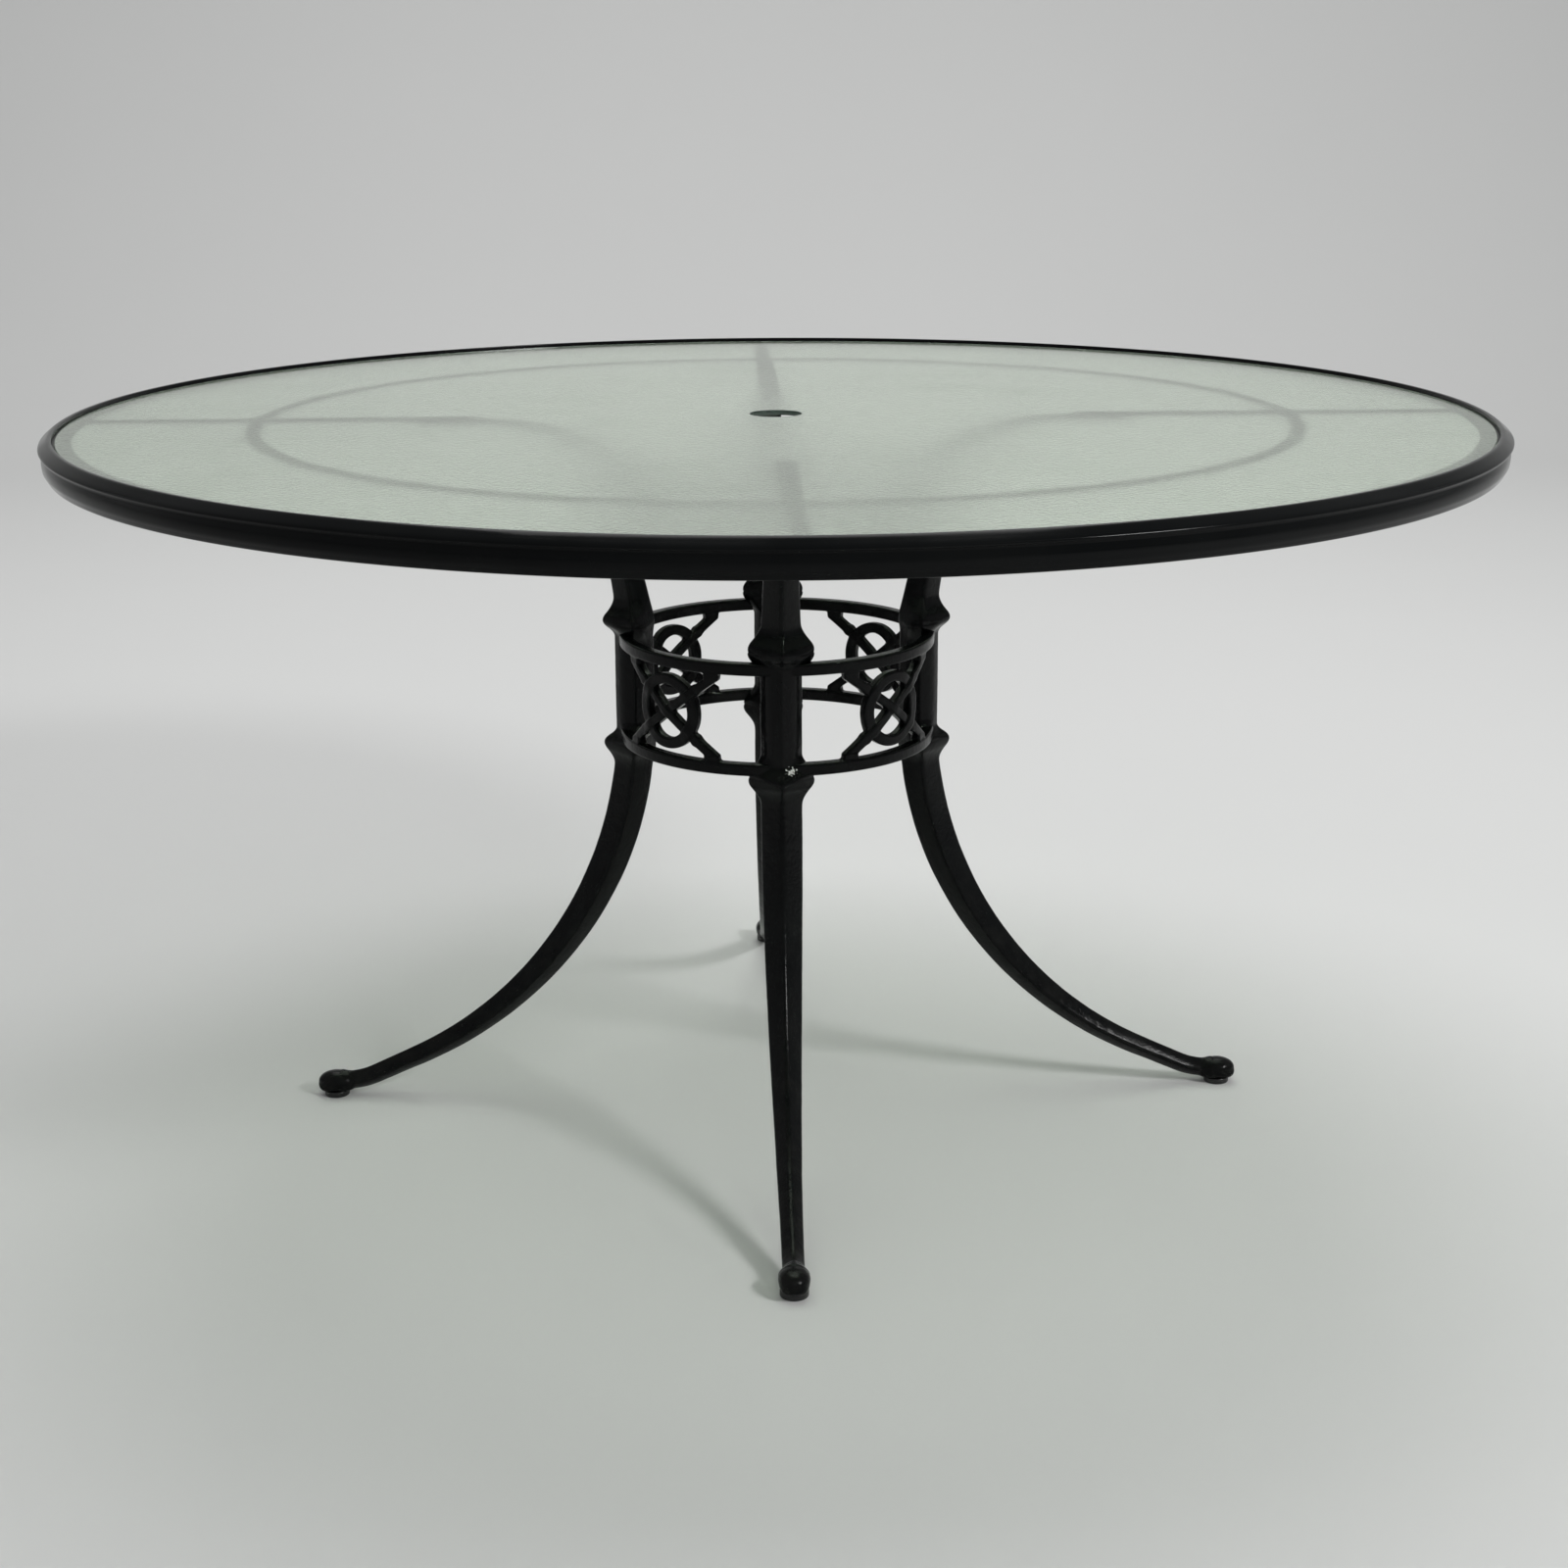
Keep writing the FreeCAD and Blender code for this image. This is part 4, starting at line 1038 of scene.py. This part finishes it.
pad = {
    "radius": 12.9,
    "height": 6.0,
    "edge": 1.4,
    "neckRadius": 4.3,
    "segments": 64,
    "soleHeight": 0.6,
    "soleSides": 32,
}


# A turned ring with an open disc inside its neck, so that the neck looks closed from below
def makePadMesh():
    outline = [(pad["radius"], 0.0), (pad["radius"], pad["height"]), (pad["neckRadius"], pad["height"]),
               (pad["neckRadius"], 0.0)]
    corners = rounded(outline, pad["edge"], 5)
    loops = []
    for k in range(pad["segments"]):
        turn = 2 * math.pi * k / pad["segments"]
        loops.append([Vector((x * math.cos(turn), x * math.sin(turn), y)) * mm for x, y in corners])
    mesh = loopMesh("glidePad", loops, closeRound=True)
    work = bmesh.new()
    work.from_mesh(mesh)
    turns = [2 * math.pi * k / pad["soleSides"] for k in range(pad["soleSides"])]
    neck = pad["neckRadius"]
    sole = [Vector((neck * math.cos(t), neck * math.sin(t), pad["soleHeight"])) * mm for t in turns]
    work.faces.new([work.verts.new(point) for point in sole])
    work.to_mesh(mesh)
    work.free()
    shadeSmooth(mesh, 50)
    return mesh


padMesh = makePadMesh()
for number, angle in enumerate(quarterTurns, start=1):
    place = Matrix.Rotation(math.radians(angle), 4, "Z") @ Matrix.Translation((leg["footRadius"] * mm, 0, 0))
    copy = padMesh.copy()
    copy.transform(place)
    foot = addObject("glidePad%d" % number, copy)
    finishPiece(foot, padMaterial, "pad_%d" % number, ["glide_pad_%d" % number])
print("pads made")


# Finishes for the CAD pieces that keep their own shape

carried = {"top_spoke_": frameMaterial, "foot_insert_": steelMaterial, "glide_stud_": steelMaterial,
           "arm_": steelMaterial, "ring_screws": steelMaterial, "rim_screws": steelMaterial}
for name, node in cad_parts.items():
    for start, material in carried.items():
        if name.startswith(start):
            for place in range(len(node.data.materials)):
                node.data.materials[place] = material
print("carried pieces finished")


# Floor, light and camera

studio = {
    "paint": (0.63, 0.632, 0.625, 1),
    "paintCloud": (0.645, 0.647, 0.64, 1),
    "air": (0.98, 0.99, 1.0, 1),
    "airStrength": 0.36,
    "halfWidth": 11.0,
    "frontEdge": -7.0,
    "bendStart": 4.2,
    "bendRadius": 1.6,
    "wallTop": 6.5,
    "cloudScale": 1.4,
    "rough": 0.85,
    "specular": 0.2,
}
# Name, place, power in watts, width, height, aim
lamps = (
    ("overLamp", (0.0, 2.1, 5.2), 185.0, 4.0, 4.0, (0.0, 0.6, 0.0)),
    ("keyLamp", (3.8, -2.8, 3.3), 145.0, 1.3, 0.6, (0.0, -0.3, 0.2)),
)


# Floor that sweeps up into a wall behind the table
def makeFloor():
    outline = [(studio["frontEdge"], 0.0), (studio["bendStart"], 0.0)]
    for k in range(1, 25):
        turn = math.pi / 2 * k / 24
        outline.append((studio["bendStart"] + studio["bendRadius"] * math.sin(turn),
                        studio["bendRadius"] * (1 - math.cos(turn))))
    outline.append((studio["bendStart"] + studio["bendRadius"], studio["wallTop"]))
    verts = []
    for y, z in outline:
        verts += [(-studio["halfWidth"], y, z), (studio["halfWidth"], y, z)]
    faces = [(k * 2, k * 2 + 1, k * 2 + 3, k * 2 + 2) for k in range(len(outline) - 1)]
    mesh = bpy.data.meshes.new("sweep")
    mesh.from_pydata(verts, [], faces)
    sweep = addObject("sweep", mesh)
    shadeSmooth(mesh, 60)
    finish = Finish("sweepPaint")
    cloud = finish.noise(studio["cloudScale"], 3)
    colour = finish.mix(cloud, studio["paint"], studio["paintCloud"])
    finish.surface(Base_Color=colour, Roughness=studio["rough"], Specular_IOR_Level=studio["specular"])
    mesh.materials.append(finish.material)


def makeWorld():
    world = bpy.data.worlds.new("studio")
    bpy.context.scene.world = world
    world.use_nodes = True
    back = world.node_tree.nodes["Background"]
    back.inputs["Color"].default_value = studio["air"]
    back.inputs["Strength"].default_value = studio["airStrength"]


def addLamp(name, place, power, across, tall, aimAt):
    lamp = bpy.data.lights.new(name, "AREA")
    lamp.shape = "RECTANGLE"
    lamp.energy = power
    lamp.size = across
    lamp.size_y = tall
    lampObject = bpy.data.objects.new(name, lamp)
    lampObject.location = place
    aim = Vector(aimAt) - Vector(place)
    lampObject.rotation_euler = aim.to_track_quat("-Z", "Y").to_euler()
    bpy.context.scene.collection.objects.link(lampObject)


camera = {
    "distance": 2409.1,
    "height": 1022.7,
    "azimuth": -1.589,
    "pitch": 16.03,
    "roll": -0.258,
    "focalPixels": 2525.5,
    "middlePixel": 793.24,
    "imageWidth": 1600.0,
    "sensor": 36.0,
}


def makeCamera():
    data = bpy.data.cameras.new("photoView")
    data.sensor_fit = "HORIZONTAL"
    data.sensor_width = camera["sensor"]
    data.lens = camera["focalPixels"] / camera["imageWidth"] * camera["sensor"]
    data.shift_x = (camera["imageWidth"] / 2 - camera["middlePixel"]) / camera["imageWidth"]
    view = bpy.data.objects.new("photoView", data)
    bpy.context.scene.collection.objects.link(view)
    pitch, roll = math.radians(camera["pitch"]), math.radians(camera["roll"])
    forward = Vector((0, math.cos(pitch), -math.sin(pitch)))
    right = Vector((1, 0, 0))
    up = right.cross(forward)
    rolledRight = right * math.cos(roll) + up * math.sin(roll)
    rolledUp = up * math.cos(roll) - right * math.sin(roll)
    turn = Matrix.Rotation(math.radians(camera["azimuth"]), 3, "Z")
    axes = Matrix((turn @ rolledRight, turn @ rolledUp, -(turn @ forward))).transposed()
    place = turn @ Vector((0, -camera["distance"], camera["height"])) * mm
    view.matrix_world = Matrix.Translation(place) @ axes.to_4x4()
    bpy.context.scene.camera = view


makeFloor()
makeWorld()
for lampValues in lamps:
    addLamp(*lampValues)
makeCamera()
bpy.context.scene.view_settings.view_transform = "Standard"
print("studio made")
